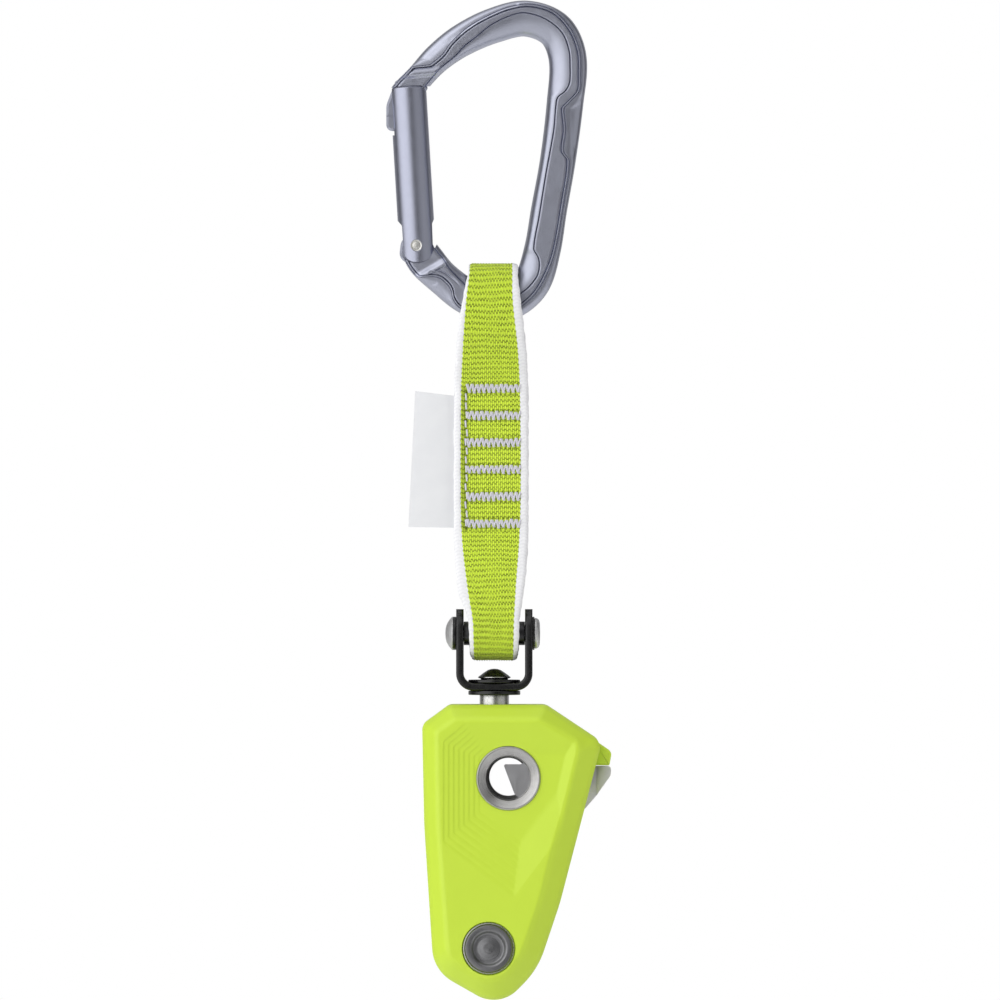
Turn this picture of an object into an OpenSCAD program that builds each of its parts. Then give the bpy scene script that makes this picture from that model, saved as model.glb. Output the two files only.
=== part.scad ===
// Hanging rope brake: a wire-straight carabiner, a sewn sling, a swivel
// shackle and a two-shell rope housing that opens about its bottom rivet.
// Millimetres. +Z is up, the front faces -Y, and the origin is the point
// inside the carabiner's top bow that hangs on a bolt hanger.

/* [Carabiner] */
// Depth of the carabiner bar, front to back
bar_depth = 9.4; // [8.8:0.1:10]
// Width taken off each side of the bar's front and back faces
bar_bevel = 1.3; // [0.8:0.1:1.6]
// Radius of the gate tube
gate_r = 5.45; // [5.2:0.05:5.6]
// Half the gate's width at its rivet
neck_r = 4.55; // [4.3:0.05:4.7]
// Thickness of the nose blade and the hinge tongue
blade_t = 4.4; // [3.8:0.1:4.6]
// Lean of the closed gate away from upright, in degrees
gate_lean = 3.4; // [3:0.1:4.5]
// Radius of the gate rivet
gate_rivet_r = 1.5; // [1.3:0.1:1.7]

/* [Sling] */
// Thickness of one layer of webbing
webbing_t = 2.2; // [1.8:0.1:2.2]
// Number of bar tacks across the sewn middle
tack_rows = 6; // [4:1:8]
// Width of the sewn-in tab where it stands out of the left edge
label_w = 13; // [8:1:16]

/* [Shackle] */
// Thickness of the shackle strap
strap_t = 2.25; // [2:0.05:2.5]
// Clear width between the shackle's arms
shackle_gap = 18.4; // [18:0.1:19]
// Radius of the shackle pin's shank
pin_r = 2.5; // [2:0.1:2.8]
// Outer radius of the sleeve on the pin
sleeve_r = 3.55; // [3.3:0.05:3.6]
// Radius of the pin's two heads
pin_head_r = 5; // [4.4:0.1:5.4]

/* [Swivel] */
// Radius of the swivel bolt where it turns in the shackle
swivel_r = 4.2; // [3.8:0.1:4.4]
// Radius of the swivel washers
washer_r = 7.8; // [7:0.1:8]
// Radius of the swivel bolt's domed head
dome_r = 4.9; // [4.6:0.1:5.4]

/* [Housing] */
// Height of the housing below the swivel
housing_h = 88; // [86:1:91]
// Half of the housing's depth, front to back
housing_half = 18; // [17.5:0.5:19]
// Width of the rope channel between the steel plates
channel_w = 13; // [12:0.5:13.5]
// Thickness of the steel channel plates
plate_t = 2; // [1.5:0.1:2.2]
// Thickness of the shells' walls
wall = 2.2; // [1.8:0.1:2.6]
// Depth of the dish around the eyelet
dish_depth = 2; // [1:0.1:2.2]

/* [Eyelet and rivets] */
// Radius of the finger hole through the front eyelet
eyelet_r = 6.45; // [6:0.05:6.6]
// Radius of the eyelets' flanges
eyelet_flange_r = 9.7; // [9.4:0.1:10]
// Radius of the hole through the rear eyelet
rear_eyelet_r = 5.7; // [5.4:0.1:6]
// Radius of the bottom rivet's shank
rivet_r = 4; // [3.5:0.1:4.2]
// Radius of the bottom rivet's heads
rivet_head_r = 7.3; // [7:0.05:7.5]
// Radius of the rope sleeve on the bottom rivet
rope_sleeve_r = 6.5; // [6:0.1:7]

/* [Jaws] */
// Gap between the two jaws at their tight upper end
jaw_gap = 5.2; // [4.4:0.1:6]
// How far each jaw leans back for each millimetre down
jaw_slope = 0.27; // [0.2:0.01:0.3]
// Thickness of the jaw plates
jaw_t = 1.8; // [1.4:0.1:2]

/* [Hidden] */
$fn = 48;
fit = 0.05;    // radial clearance of a shaft that turns in a hole
gap = 0.3;     // clearance between pieces that move past each other
far = 60;      // longer than any cut needs to be
sliver = 0.02; // lets a cut pass through a face

hang_x = -10;  // the sling, shackle and swivel share this upright line

// Bar of the carabiner from its nose to its hinge: [x, z, width]
bar_line = [
    [-38.3, -19.3, 9], [-35.6, -16, 9], [-32.4, -12.2, 8.2], [-27, -6.4, 8.8],
    [-19.6, -1, 9.8], [-10, 3.4, 10.6], [-0.4, 5.3, 10.6], [8, 1.6, 10.6],
    [11.7, -6.6, 11], [11, -20, 10.6], [8.8, -37.4, 10.3], [6.2, -52, 10.5],
    [4.3, -64, 10.7], [1.2, -73.6, 11], [-4.4, -79, 11], [-10.5, -80, 11],
    [-18, -78, 10.8], [-25.4, -72.5, 10.3], [-30.5, -67.2, 11.2], [-33.6, -62.3, 10.4]];
gate_pivot = [-33.4, 0, -62.7];
gate_h = 47.6;     // from the rivet to the top of the gate
gate_shift = 0.3; // the tube's middle line stands this far inside its rivet
gate_slot = blade_t + 0.5;
bar_steps = 5;

// Middle of one webbing layer seen from the side: [y, z]
sling_line = [
    [0, -68.9], [5.4, -70.4], [8.3, -74.6], [8.9, -80.5], [7.6, -88], [4.4, -96],
    [1.5, -103.5], [1.05, -109], [1.05, -146], [1.7, -153], [4.2, -162],
    [6.6, -171], [7.2, -178.5], [5.1, -184.1], [0, -186.2]];
// The sling's left and right edges, from its middle line: [z, left, right]
sling_edges = [
    [-66, 7.2, 5.3], [-71, 7.3, 5.3], [-79, 7.7, 5.9], [-88, 10.6, 8.9],
    [-105, 11.8, 10.1],
    [-147, 12, 10.2], [-166, 11, 8.9], [-175, 7.8, 7.3], [-190, 7.3, 7.3]];
sling_eyes = [[-104, -60], [-190, -152]];  // heights of the two loops' insides
tack_top = -105.6;
tack_pitch = 8.1;
tack_w = 16.1;
tack_h = 2.4;
thread_t = 0.5;
sewn_half = 2.15;  // half of the thickness of the sewn middle

pin_z = -179;
thimble_r = 5.95;
arm_top = -171.75;
base_top = -193.9;
base_low = base_top - strap_t;
head_low = base_top + 1;  // underside of the swivel bolt's head

body_top = -200.3;
body_low = body_top - housing_h;
// Outline of the housing seen from the front: [x, z, corner radius]
body_line = [
    [-23.4, body_top, 3], [4.8, body_top, 4], [21.5, body_top - 11.1, 4.5],
    [9.6, body_top - 59.5, 60], [2.7, body_low + 8.9, 8], [-8.5, body_low - 2.8, 10],
    [-27.8, body_low + 8.7, 7], [-31, body_top - 35.7, 90], [-31.6, body_top - 6, 3]];
// Outline of the flat face inside the bevels
face_line = [
    [-21.8, body_top - 4.1, 2], [3.4, body_top - 4.1, 2], [15.2, body_top - 12.2, 3],
    [3.8, body_top - 58, 40], [-1.8, body_low + 14, 7], [-9.3, body_low + 3.2, 8],
    [-23.9, body_low + 12, 6], [-27, body_top - 36, 90], [-27.5, body_top - 8, 2]];
plate_y = channel_w / 2;          // channel face of each steel plate
shell_y = plate_y + plate_t;      // where each shell's inside begins
bevel_y = 12.5;                   // depth at which the side bevels begin
face_wall = 3.4;                  // thickness of the shell's outer face
eye = [-5.8, 0, -222.2];          // centre of the eyelets
front_eyelet_y = -housing_half + dish_depth - 0.9;
rear_eyelet_y = -housing_half + dish_depth;
rivet = [-11.7, 0, -273.1];       // centre of the bottom rivet
rivet_sink = 2.1;                 // depth of the recess round its heads
rivet_recess_r = 8.05;
rivet_washer_t = 0.5;
catch_at = [-22.5, 0, -215.5];    // centre of the catch pin
catch_r = 1.5;
lever_y = 11.6;                   // middle of the latch lever's plate
lever_t = 2;
lever_pin = [8.5, 0, -229.5];     // where the latch lever turns
lever_pin_r = 1.6;
jaw_top = -218.8;
jaw_bend = 21.1;                  // x at which each jaw flares into its lip
jaw_foot = 8;                     // x at which each jaw begins
jaw_flare = 30;                   // turn of the lip, in degrees
screws = [[-26, -226], [10, -207.6], [2, -256]];
screw_r = 1.5;
screw_head_r = 2.7;

// ---------------------------------------------------------------- curves

function unit(v) = v / norm(v);
function flat(p) = [p[0], p[1]];
function reversed(p) = [for (i = [len(p) - 1:-1:0]) p[i]];

// Slope of a curve at b, between a and c, for a step as long as s
function slope(a, b, c, s) =
    (c - a) * s / (norm(flat(c - b)) + norm(flat(b - a)));

// Point a fraction t of the way from b to c, with a and d their neighbours
function between(a, b, c, d, t) =
    let (s = norm(flat(c - b)), m = slope(a, b, c, s), n = slope(b, c, d, s))
    b * (2 * t^3 - 3 * t^2 + 1) + m * (t^3 - 2 * t^2 + t)
    + c * (3 * t^2 - 2 * t^3) + n * (t^3 - t^2);

// Smooth curve through points; before and after set its end slopes
function smooth(p, steps, before, after) =
    let (q = concat([before], p, [after]), n = len(p))
    [for (i = [1:n - 1]) for (k = [0:steps - 1])
        between(q[i - 1], q[i], q[i + 1], q[i + 2], k / steps), p[n - 1]];

// A curve's own continuation past either end
function start_of(p) = 2 * p[0] - p[1];
function end_of(p) = 2 * p[len(p) - 1] - p[len(p) - 2];

// One edge of a band that follows a line of [x, y, width] points
function edge(c, side, inset) =
    [for (i = [0:len(c) - 1])
        let (a = c[max(i - 1, 0)], b = c[min(i + 1, len(c) - 1)],
             d = unit(flat(b - a)), k = side * (c[i][2] / 2 - inset))
        [c[i][0] - d[1] * k, c[i][1] + d[0] * k]];
function band(c, inset = 0) = concat(edge(c, 1, inset), reversed(edge(c, -1, inset)));

// Corner at b with its own radius, between neighbours a and c
function corner(a, b, c, steps) =
    let (p = flat(b), u = unit(flat(a) - p), v = unit(flat(c) - p),
         half = acos(u * v) / 2, m = p + unit(u + v) * b[2] / sin(half),
         s = p + u * b[2] / tan(half) - m, e = p + v * b[2] / tan(half) - m,
         a0 = atan2(s[1], s[0]), turn = atan2(e[1], e[0]) - a0,
         sweep = turn > 180 ? turn - 360 : turn < -180 ? turn + 360 : turn)
    [for (k = [0:steps])
        m + b[2] * [cos(a0 + sweep * k / steps), sin(a0 + sweep * k / steps)]];

// Outline whose corners [x, z, r] are arcs
function rounded(p, steps = 5) =
    let (n = len(p))
    [for (i = [0:n - 1]) each
        (p[i][2] > 0 ? corner(p[(i + n - 1) % n], p[i], p[(i + 1) % n], steps)
                     : [flat(p[i])])];

// ---------------------------------------------------------------- solids

// Extrudes an [x, z] outline along Y from y0 to y1
module across(y0, y1) {
    translate([0, y1, 0]) rotate([90, 0, 0]) linear_extrude(y1 - y0) children();
}

// Extrudes a [y, z] outline along X from x0 to x1
module along(x0, x1) {
    translate([x0, 0, 0]) rotate([90, 0, 90]) linear_extrude(x1 - x0) children();
}

// Round bar along Y, from y0 to y1, about the point p
module rod_y(p, r, y0, y1, r2 = -1) {
    translate([p[0], y1, p[2]]) rotate([90, 0, 0])
        cylinder(h = y1 - y0, r1 = r2 < 0 ? r : r2, r2 = r);
}

// Solid of revolution about the Y line through p; profile is [radius, y]
module turned_y(p, profile) {
    translate(p) rotate([-90, 0, 0]) rotate_extrude()
        polygon([for (q = profile) [q[0], q[1]]]);
}

// Solid of revolution about the swivel's upright line
module turned_z(profile) {
    translate([hang_x, 0, 0]) rotate_extrude() polygon(profile);
}

// Solid of revolution about the shackle pin's line; profile is [radius, x]
module turned_x(profile) {
    translate([hang_x, 0, pin_z]) rotate([0, 90, 0]) rotate_extrude() polygon(profile);
}

// Mirrors a rear piece to the front
module to_front() {
    mirror([0, 1, 0]) children();
}

// ------------------------------------------------------------- carabiner

bar_curve = smooth(bar_line, bar_steps, start_of(bar_line), end_of(bar_line));
// The stretch of the bar that carries the sunk panel down the spine
panel_curve = [for (p = bar_curve) if (p[0] > 2 && p[1] < -2) p];

module nose_blade() {
    across(-blade_t / 2, blade_t / 2)
        polygon(rounded([
            [-39.6, -13.4, 1], [-42.3, -20.6, 5], [-42.3, -28.3, 1.6], [-37.6, -28.3, 2.4],
            [-35.6, -21, 3], [-33.4, -14.4, 1]]));
}

module hinge_tongue() {
    across(-blade_t / 2, blade_t / 2) union() {
        translate([gate_pivot[0], gate_pivot[2]]) circle(r = 4.3);
        polygon([[-35.6, -65.5], [-30.6, -64.6], [-29, -68], [-32, -71]]);
    }
}

module carabiner_frame() {
    core = bar_depth / 2 - bar_bevel;
    color("lightsteelblue") difference() {
        union() {
            difference() {
                union() {
                    across(-core, core) polygon(band(bar_curve));
                    across(-bar_depth / 2 + bar_bevel / 2, bar_depth / 2 - bar_bevel / 2)
                        polygon(band(bar_curve, bar_bevel * 0.4));
                    across(-bar_depth / 2, bar_depth / 2)
                        polygon(band(bar_curve, bar_bevel));
                }
                for (s = [-1, 1]) translate([0, s * bar_depth / 2, 0])
                    across(-0.9, 0.9) polygon(band(panel_curve, 3));
                rod_y(gate_pivot, 5.3, -far, far);
                // room for the gate's inner side when it is open
                across(-far, far) translate([gate_pivot[0], gate_pivot[2]])
                    polygon([[0, 0], [4.81, -2.34], [11, 10.3], [0, 10.3]]);
                intersection() {
                    rod_y(gate_pivot, gate_h + 0.7, -far, far);
                    translate([-28 - far, -far, -40]) cube([far, 2 * far, 40]);
                }
            }
            nose_blade();
            hinge_tongue();
        }
        rod_y(gate_pivot, gate_rivet_r, -far, far);
    }
}

module gate_rivet() {
    head = [[0, -neck_r - 0.6], [1.2, -neck_r - 0.55], [gate_rivet_r + 0.35, -neck_r - 0.1],
            [gate_rivet_r + 0.35, -neck_r + 0.05], [gate_rivet_r, -neck_r + 0.05]];
    color("gainsboro") turned_y(gate_pivot, concat(
        head, [for (i = [len(head) - 1:-1:0]) [head[i][0], -head[i][1]]]));
}

// Turns a piece built upright on the origin to the closed gate's place
module at_gate() {
    translate(gate_pivot) rotate([0, -gate_lean, 0]) translate([gate_shift, 0, 0]) children();
}

module gate() {
    shoulder = 6.4;   // top of the narrow neck
    nose_floor = 32;  // bottom of the slot that takes the nose
    color("lightsteelblue") difference() {
        at_gate() difference() {
            intersection() {
                translate([0, 0, -5]) cylinder(h = gate_h + 5, r = gate_r);
                across(-far, far) polygon(rounded([
                    [-neck_r, -6, 0], [neck_r + 0.2, -6, 0], [neck_r + 0.2, shoulder, 1],
                    [gate_r, shoulder + 1.4, 1], [gate_r, gate_h, 2.2], [-gate_r, gate_h, 0.6],
                    [-gate_r, shoulder + 1.4, 1], [-neck_r, shoulder, 1]]));
                // the lower end is round about the rivet, so that it clears the bar
                union() {
                    translate([-far, -far, 0]) cube(2 * far);
                    rod_y([-gate_shift, 0, 0], 5.15, -far, far);
                }
            }
            translate([-far, -gate_slot / 2, -far]) cube([2 * far, gate_slot, far + 5.2]);
            translate([-far, -gate_slot / 2, nose_floor])
                cube([far + 3.1, gate_slot, far]);
            cylinder(h = 26, r = 2.3);
        }
        rod_y(gate_pivot, gate_rivet_r + fit, -far, far);
        rod_y(gate_pivot, gate_rivet_r + 0.5, neck_r - 0.15, far);
        rod_y(gate_pivot, gate_rivet_r + 0.5, -far, 0.15 - neck_r);
    }
}

module gate_spring() {
    turns = 9;
    color("silver") at_gate() for (i = [0:turns - 1])
        translate([0, 0, 10.6 + i * 1.65])
            rotate_extrude() translate([1.7, 0]) square([0.5, 1.66], center = true);
}

module gate_plunger() {
    color("dimgray") at_gate() rotate_extrude() polygon([
        [0, 5.5], [1.2, 5.9], [2.15, 7.2], [2.15, 9.6], [1.3, 9.6], [1.3, 14], [0, 14]]);
}

// ----------------------------------------------------------------- sling

sling_half = [for (p = sling_line) [p[0], p[1], webbing_t]];
sling_curve = smooth(sling_half, 6,
    [-sling_half[1][0], sling_half[1][1], webbing_t],
    [-sling_half[len(sling_half) - 2][0], sling_half[len(sling_half) - 2][1], webbing_t]);
// A half outline closed by its own mirror image
function both_sides(p) = concat(p, [for (q = reversed(p)) if (q[0] > 0.01) [-q[0], q[1]]]);
edge_curve = smooth(sling_edges, 4, start_of(sling_edges), end_of(sling_edges));

module sling_webbing() {
    color("yellowgreen") difference() {
        intersection() {
            along(hang_x - 14, hang_x + 14) difference() {
                polygon(both_sides(edge(sling_curve, 1, 0)));
                for (z = sling_eyes) polygon(both_sides(
                    [for (p = edge(sling_curve, -1, 0)) if (p[1] > z[0] && p[1] < z[1]) p]));
            }
            across(-14, 14) translate([hang_x, 0]) polygon(concat(
                [for (p = edge_curve) [p[2], p[0]]],
                [for (p = reversed(edge_curve)) [-p[1], p[0]]]));
        }
        turned_x([[0, -far], [thimble_r + fit, -far], [thimble_r + fit, far], [0, far]]);
    }
}

module bar_tacks() {
    color("lightgray") for (i = [0:tack_rows - 1], s = [-1, 1])
        translate([hang_x - 0.2, s * (sewn_half + thread_t / 2 - 0.1),
                   tack_top - i * tack_pitch])
            cube([tack_w, thread_t, tack_h], center = true);
}

module edge_stitch() {
    color("lightgray") for (i = [0:19], s = [-1, 1])
        translate([hang_x - 8.9, s * (sewn_half + thread_t / 2 - 0.1), -107 - i * 2])
            cube([0.7, thread_t, 1.3], center = true);
}

module sling_tab() {
    right = hang_x - 9;
    color("whitesmoke") across(-0.4, 0.4) polygon([
        [right - label_w - 1.75, -106.3], [right, -108.1], [right, -147.4],
        [right - label_w - 3.8, -147.1]]);
}

module thimble() {
    half = 7.15;
    color("gray") turned_x([
        [sleeve_r + 0.07, -half], [thimble_r, -half], [thimble_r, half],
        [sleeve_r + 0.07, half]]);
}

// --------------------------------------------------------------- shackle

module shackle() {
    inner = shackle_gap / 2;
    outer = inner + strap_t;
    color("black") difference() {
        intersection() {
            across(-8, 8) translate([hang_x, 0]) difference() {
                polygon(rounded([[-outer, arm_top, 0.6], [outer, arm_top, 0.6],
                                 [outer, base_low, 4], [-outer, base_low, 4]]));
                polygon(rounded([[-inner, arm_top + 5, 1], [inner, arm_top + 5, 1],
                                 [inner, base_top, 1.8], [-inner, base_top, 1.8]]));
            }
            along(hang_x - 14, hang_x + 14) polygon(rounded([
                [-6.4, arm_top, 5.6], [6.4, arm_top, 5.6],
                [7, base_low, 1.5], [-7, base_low, 1.5]]));
        }
        turned_x([[0, -far], [pin_r, -far], [pin_r, far], [0, far]]);
        turned_z([[0, base_low - 1], [swivel_r + fit, base_low - 1],
                  [swivel_r + fit, base_top + 1], [0, base_top + 1]]);
    }
}

module shackle_pin() {
    outer = shackle_gap / 2 + strap_t;
    color("silver") turned_x([
        [0, -outer - 3.25], [2.2, -outer - 3], [3.9, -outer - 2.3], [pin_head_r, -outer - 1.2],
        [pin_head_r, -outer - 1], [pin_r, -outer - 1], [pin_r, outer + 0.6],
        [pin_head_r - 0.4, outer + 0.6], [pin_head_r - 0.4, outer + 1.2],
        [3.4, outer + 2.1], [0, outer + 2.3]]);
}

module pin_sleeve() {
    half = shackle_gap / 2 - 0.05;
    color("dimgray") turned_x([
        [pin_r, -half], [sleeve_r, -half], [sleeve_r, half], [pin_r, half]]);
}

module pin_washer(from, to, r) {
    color("dimgray") turned_x([[pin_r, from], [r, from], [r, to], [pin_r, to]]);
}
module pin_washer_left() {
    outer = shackle_gap / 2 + strap_t;
    pin_washer(-outer - 1, -outer, pin_head_r);
}
module pin_washer_right() {
    outer = shackle_gap / 2 + strap_t;
    pin_washer(outer, outer + 0.6, pin_head_r);
}

// ---------------------------------------------------------------- swivel

module swivel_bolt() {
    color("slategray") turned_z([
        [0, head_low + 3.3], [1.8, head_low + 3], [3.5, head_low + 2.2],
        [dome_r - 0.3, head_low + 1.1], [dome_r, head_low + 0.8], [dome_r, head_low + 0.3],
        [dome_r - 0.3, head_low], [swivel_r, head_low], [swivel_r, base_low - 1.3],
        [4.4, base_low - 1.3], [4.4, body_top - 3], [3.4, body_top - 3.6],
        [3.4, body_top - 13.6], [3, body_top - 14], [0, body_top - 14]]);
}

module swivel_washer_upper() {
    low = base_top + 0.06;
    color("black") turned_z([
        [swivel_r, low], [washer_r - 0.2, low], [washer_r, low + 0.3], [washer_r, head_low - 0.3],
        [washer_r - 0.4, head_low], [swivel_r, head_low]]);
}

module swivel_washer_lower() {
    top = base_low - 0.06;
    color("black") turned_z([
        [swivel_r, top], [washer_r, top], [washer_r, base_low - 1], [washer_r - 0.3, base_low - 1.3],
        [swivel_r, base_low - 1.3]]);
}

module swivel_nut() {
    color("silver") difference() {
        translate([hang_x, 0, body_top - 13]) cylinder(h = 3.2, r = 5.4, $fn = 6);
        turned_z([[0, body_top - far], [3.4, body_top - far], [3.4, body_top], [0, body_top]]);
    }
}

// --------------------------------------------------------------- housing

module body_outline(inset = 0) {
    offset(delta = -inset) polygon(rounded(body_line));
}

// Rear outline: the housing's own, with the fin above the jaws' mouth
module rear_outline(inset = 0) {
    offset(delta = -inset) union() {
        polygon(rounded(body_line));
        polygon(rounded([[6, body_top - 4, 1], [19.4, -210.6, 1], [25.2, -214.6, 1.6],
                         [24.5, jaw_top + 0.3, 0.4], [6, jaw_top + 0.3, 1]]));
    }
}

// Roof zone of the channel: above the rope, left of and over the jaws
module roof_zone() {
    polygon([[-40, -190], [40, -190], [40, jaw_top + 0.3], [6.2, jaw_top + 0.3],
             [6.2, -229], [2, -234], [-18, -237], [-40, -237]]);
}

// Bevelled block between the channel and the housing's outer face
module shell_block() {
    hull() {
        across(shell_y - plate_t, bevel_y) body_outline();
        across(housing_half - 0.1, housing_half) polygon(rounded(face_line));
    }
}

// Hollows behind the outer face: one for the latch, one below it
module shell_hollows() {
    across(shell_y - sliver, housing_half - face_wall) intersection() {
        body_outline(3.4);
        union() {
            translate([-40, -238]) square([80, 40]);
            translate([-40, -262]) square([80, 21.5]);
        }
    }
}

// Places something at each of the three shell screws
module at_screws() {
    for (s = screws) translate([s[0], 0, s[1]]) children();
}

// Bosses that the screws run into
module screw_bosses() {
    at_screws() rod_y([0, 0, 0], 3.6, shell_y, housing_half - 1.5);
}

// What a shell and its outer face share on either side
module shell() {
    difference() {
        union() {
            difference() {
                shell_block();
                shell_hollows();
            }
            intersection() {
                screw_bosses();
                shell_block();
            }
        }
        across(shell_y - far, shell_y) body_outline(1.5);
        translate([-11, housing_half + 58 - dish_depth, -222]) sphere(r = 58, $fn = 96);
        rod_y(rivet, rivet_recess_r, housing_half - rivet_sink, far);
    }
}

module screw_holes() {
    at_screws() rod_y([0, 0, 0], screw_r, 0, housing_half - 3);
}

module front_shell() {
    // The catch pin leaves the cover along an arc about the bottom rivet
    reach = norm(catch_at - rivet);
    color("greenyellow") difference() {
        to_front() shell();
        to_front() screw_holes();
        rod_y(rivet, rivet_r + fit, -far, far);
        eyelet_seat(eyelet_r, eyelet_flange_r - 0.05, front_eyelet_y);
        rod_y(lever_pin, lever_pin_r, -15.4, 0);
        catch_slot(reach, -13.4);
    }
}

// Arc-shaped slot about the bottom rivet, from the catch pin to the left edge
module catch_slot(reach, front) {
    intersection() {
        difference() {
            rod_y(rivet, reach + catch_r + 0.4, front, 0);
            rod_y(rivet, reach - catch_r - 0.4, -far, far);
        }
        translate([catch_at[0] - 40 + catch_r + 0.4, -far, catch_at[2] - 12])
            cube([40, 2 * far, 20]);
    }
}

module rear_shell() {
    color("greenyellow") difference() {
        union() {
            shell();
            // side walls that close the channel over the block and low on the right
            across(-plate_y + gap, shell_y + 1) difference() {
                intersection() {
                    rear_outline();
                    union() {
                        roof_zone();
                        polygon([[0, -244], [30, -244], [30, -270], [0, -270]]);
                    }
                }
                body_outline(wall);
            }
            // the fin's own thickness behind the channel
            across(shell_y, bevel_y) intersection() {
                rear_outline();
                translate([14, -220]) square([20, 20]);
            }
        }
        screw_holes();
        at_screws() rod_y([0, 0, 0], screw_head_r + 0.05, housing_half - 3.2, far);
        rod_y(rivet, rivet_r, -far, far);
        to_front() eyelet_seat(rear_eyelet_r, eyelet_flange_r - 1.05, rear_eyelet_y);
        turned_z([[0, body_top - 10], [4.5, body_top - 10], [4.5, body_top + 1], [0, body_top + 1]]);
    }
}

module plate_holes() {
    rod_y(eye, eyelet_r + 0.3, -far, far);
    at_screws() rod_y([0, 0, 0], screw_r, -far, far);
}

module rear_plate() {
    color("lightgray") difference() {
        across(plate_y, shell_y) body_outline(wall + 0.1);
        plate_holes();
        rod_y(rivet, rivet_r, -far, far);
        rod_y(catch_at, catch_r, -far, far);
    }
}

module front_plate() {
    reach = norm(catch_at - rivet);
    color("lightgray") difference() {
        across(-shell_y, -plate_y) body_outline(1.6);
        plate_holes();
        rod_y(rivet, rivet_r + fit, -far, far);
        rod_y(lever_pin, lever_pin_r, -far, far);
        catch_slot(reach, -13.4);
    }
}

module channel_block() {
    color("darkgray") difference() {
        across(-plate_y + gap, plate_y) intersection() {
            body_outline(wall + 0.1);
            roof_zone();
        }
        rod_y(eye, eyelet_r + 0.3, -far, far);
        rod_y(catch_at, catch_r, -far, far);
        turned_z([[0, body_top - 14.2], [3.4, body_top - 14.2], [3.4, body_top - 3.6],
                  [4.4, body_top - 3], [4.4, body_top], [0, body_top]]);
        // pocket for the nut, open towards the rear plate
        translate([hang_x - 5.6, -5.6, body_top - 14.4]) cube([11.2, 30, 4.8]);
    }
}

// Strip of jaw plate along X that leans back from the channel as it goes down
module jaw_strip(x0, x1) {
    tight = jaw_gap / 2;
    drop = 14.5;
    along(x0, x1) polygon([
        [tight, jaw_top], [tight + jaw_t, jaw_top],
        [tight + jaw_t + jaw_slope * drop, jaw_top - drop],
        [tight + jaw_slope * drop, jaw_top - drop]]);
}

// One jaw at the rear: a braking face, a flared lip and a foot on the plate
module jaw() {
    foot_y = (jaw_gap + jaw_t) / 2;
    intersection() {
        jaw_strip(jaw_foot, jaw_bend);
        across(0, plate_y) polygon(rounded([
            [jaw_foot, jaw_top, 0], [jaw_bend, jaw_top, 0], [jaw_bend, -227, 0],
            [16.9, -231.8, 1], [jaw_foot, -232.6, 1]], 3));
    }
    intersection() {
        translate([jaw_bend, jaw_gap / 2, 0]) rotate([0, 0, jaw_flare])
            translate([-jaw_bend, -jaw_gap / 2, 0]) jaw_strip(jaw_bend - 3, jaw_bend + 7);
        across(0, 14) polygon(rounded([
            [jaw_bend - 0.3, jaw_top, 0], [25.1, jaw_top, 1], [24.8, -221.6, 1.2],
            [jaw_bend - 0.3, -227.2, 0]], 3));
    }
    intersection() {
        along(jaw_foot, 16.2) polygon([
            [foot_y, jaw_top], [plate_y, jaw_top],
            [plate_y, jaw_top - (plate_y - foot_y) / jaw_slope]]);
        across(0, 14) body_outline(wall + 0.3);
    }
}

module rear_jaw() {
    color("silver") jaw();
}

module front_jaw() {
    color("silver") to_front() jaw();
}

// Flanged ring with a countersunk mouth at y = face; it ends at y = back
module eyelet(bore_r, flange_r, face, back) {
    turned_y(eye, [
        [bore_r, back], [bore_r, face + 2.2], [bore_r + 0.3, face + 1.9], [flange_r - 0.7, face],
        [flange_r - 0.2, face], [flange_r, face + 0.3], [flange_r, face + 1],
        [bore_r + 1.1, face + 2.1], [bore_r + 1.1, back]]);
}

// Room for that ring in a shell
module eyelet_seat(bore_r, flange_r, face) {
    turned_y(eye, [
        [0, -far], [flange_r + fit, -far], [flange_r + fit, face + 1 + fit],
        [bore_r + 1.1 + fit, face + 2.1 + fit], [bore_r + 1.1 + fit, 0], [0, 0]]);
}

module front_eyelet() {
    color("silver") eyelet(eyelet_r, eyelet_flange_r - 0.05, front_eyelet_y, -13.3);
}

module rear_eyelet() {
    color("silver") to_front()
        eyelet(rear_eyelet_r, eyelet_flange_r - 1.05, rear_eyelet_y, -shell_y);
}

module bottom_rivet() {
    face = housing_half - 0.5;
    seat = housing_half - rivet_sink + 0.05;
    function head(low) = [
        [0, face - 0.9], [4.2, face - 0.9], [4.9, face], [rivet_head_r - 0.5, face],
        [rivet_head_r, face - 0.4], [rivet_head_r, low], [rivet_r, low]];
    color("gray") turned_y(rivet, concat(
        [for (p = head(seat + rivet_washer_t)) [p[0], -p[1]]], reversed(head(seat))));
}

module rope_sleeve() {
    color("silver") turned_y(rivet, [
        [rivet_r, -plate_y + 0.15], [rope_sleeve_r, -plate_y + 0.15],
        [rope_sleeve_r, plate_y - 1], [rope_sleeve_r + 0.8, plate_y - 1],
        [rope_sleeve_r + 0.8, plate_y], [rivet_r, plate_y]]);
}

module rivet_washer() {
    seat = -housing_half + rivet_sink - 0.05;
    color("dimgray") turned_y(rivet, [
        [rivet_r, seat], [rivet_r, seat - rivet_washer_t], [7.75, seat - rivet_washer_t],
        [7.75, seat]]);
}

module catch_pin() {
    color("silver") rod_y(catch_at, catch_r, -12.9, shell_y);
}

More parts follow.
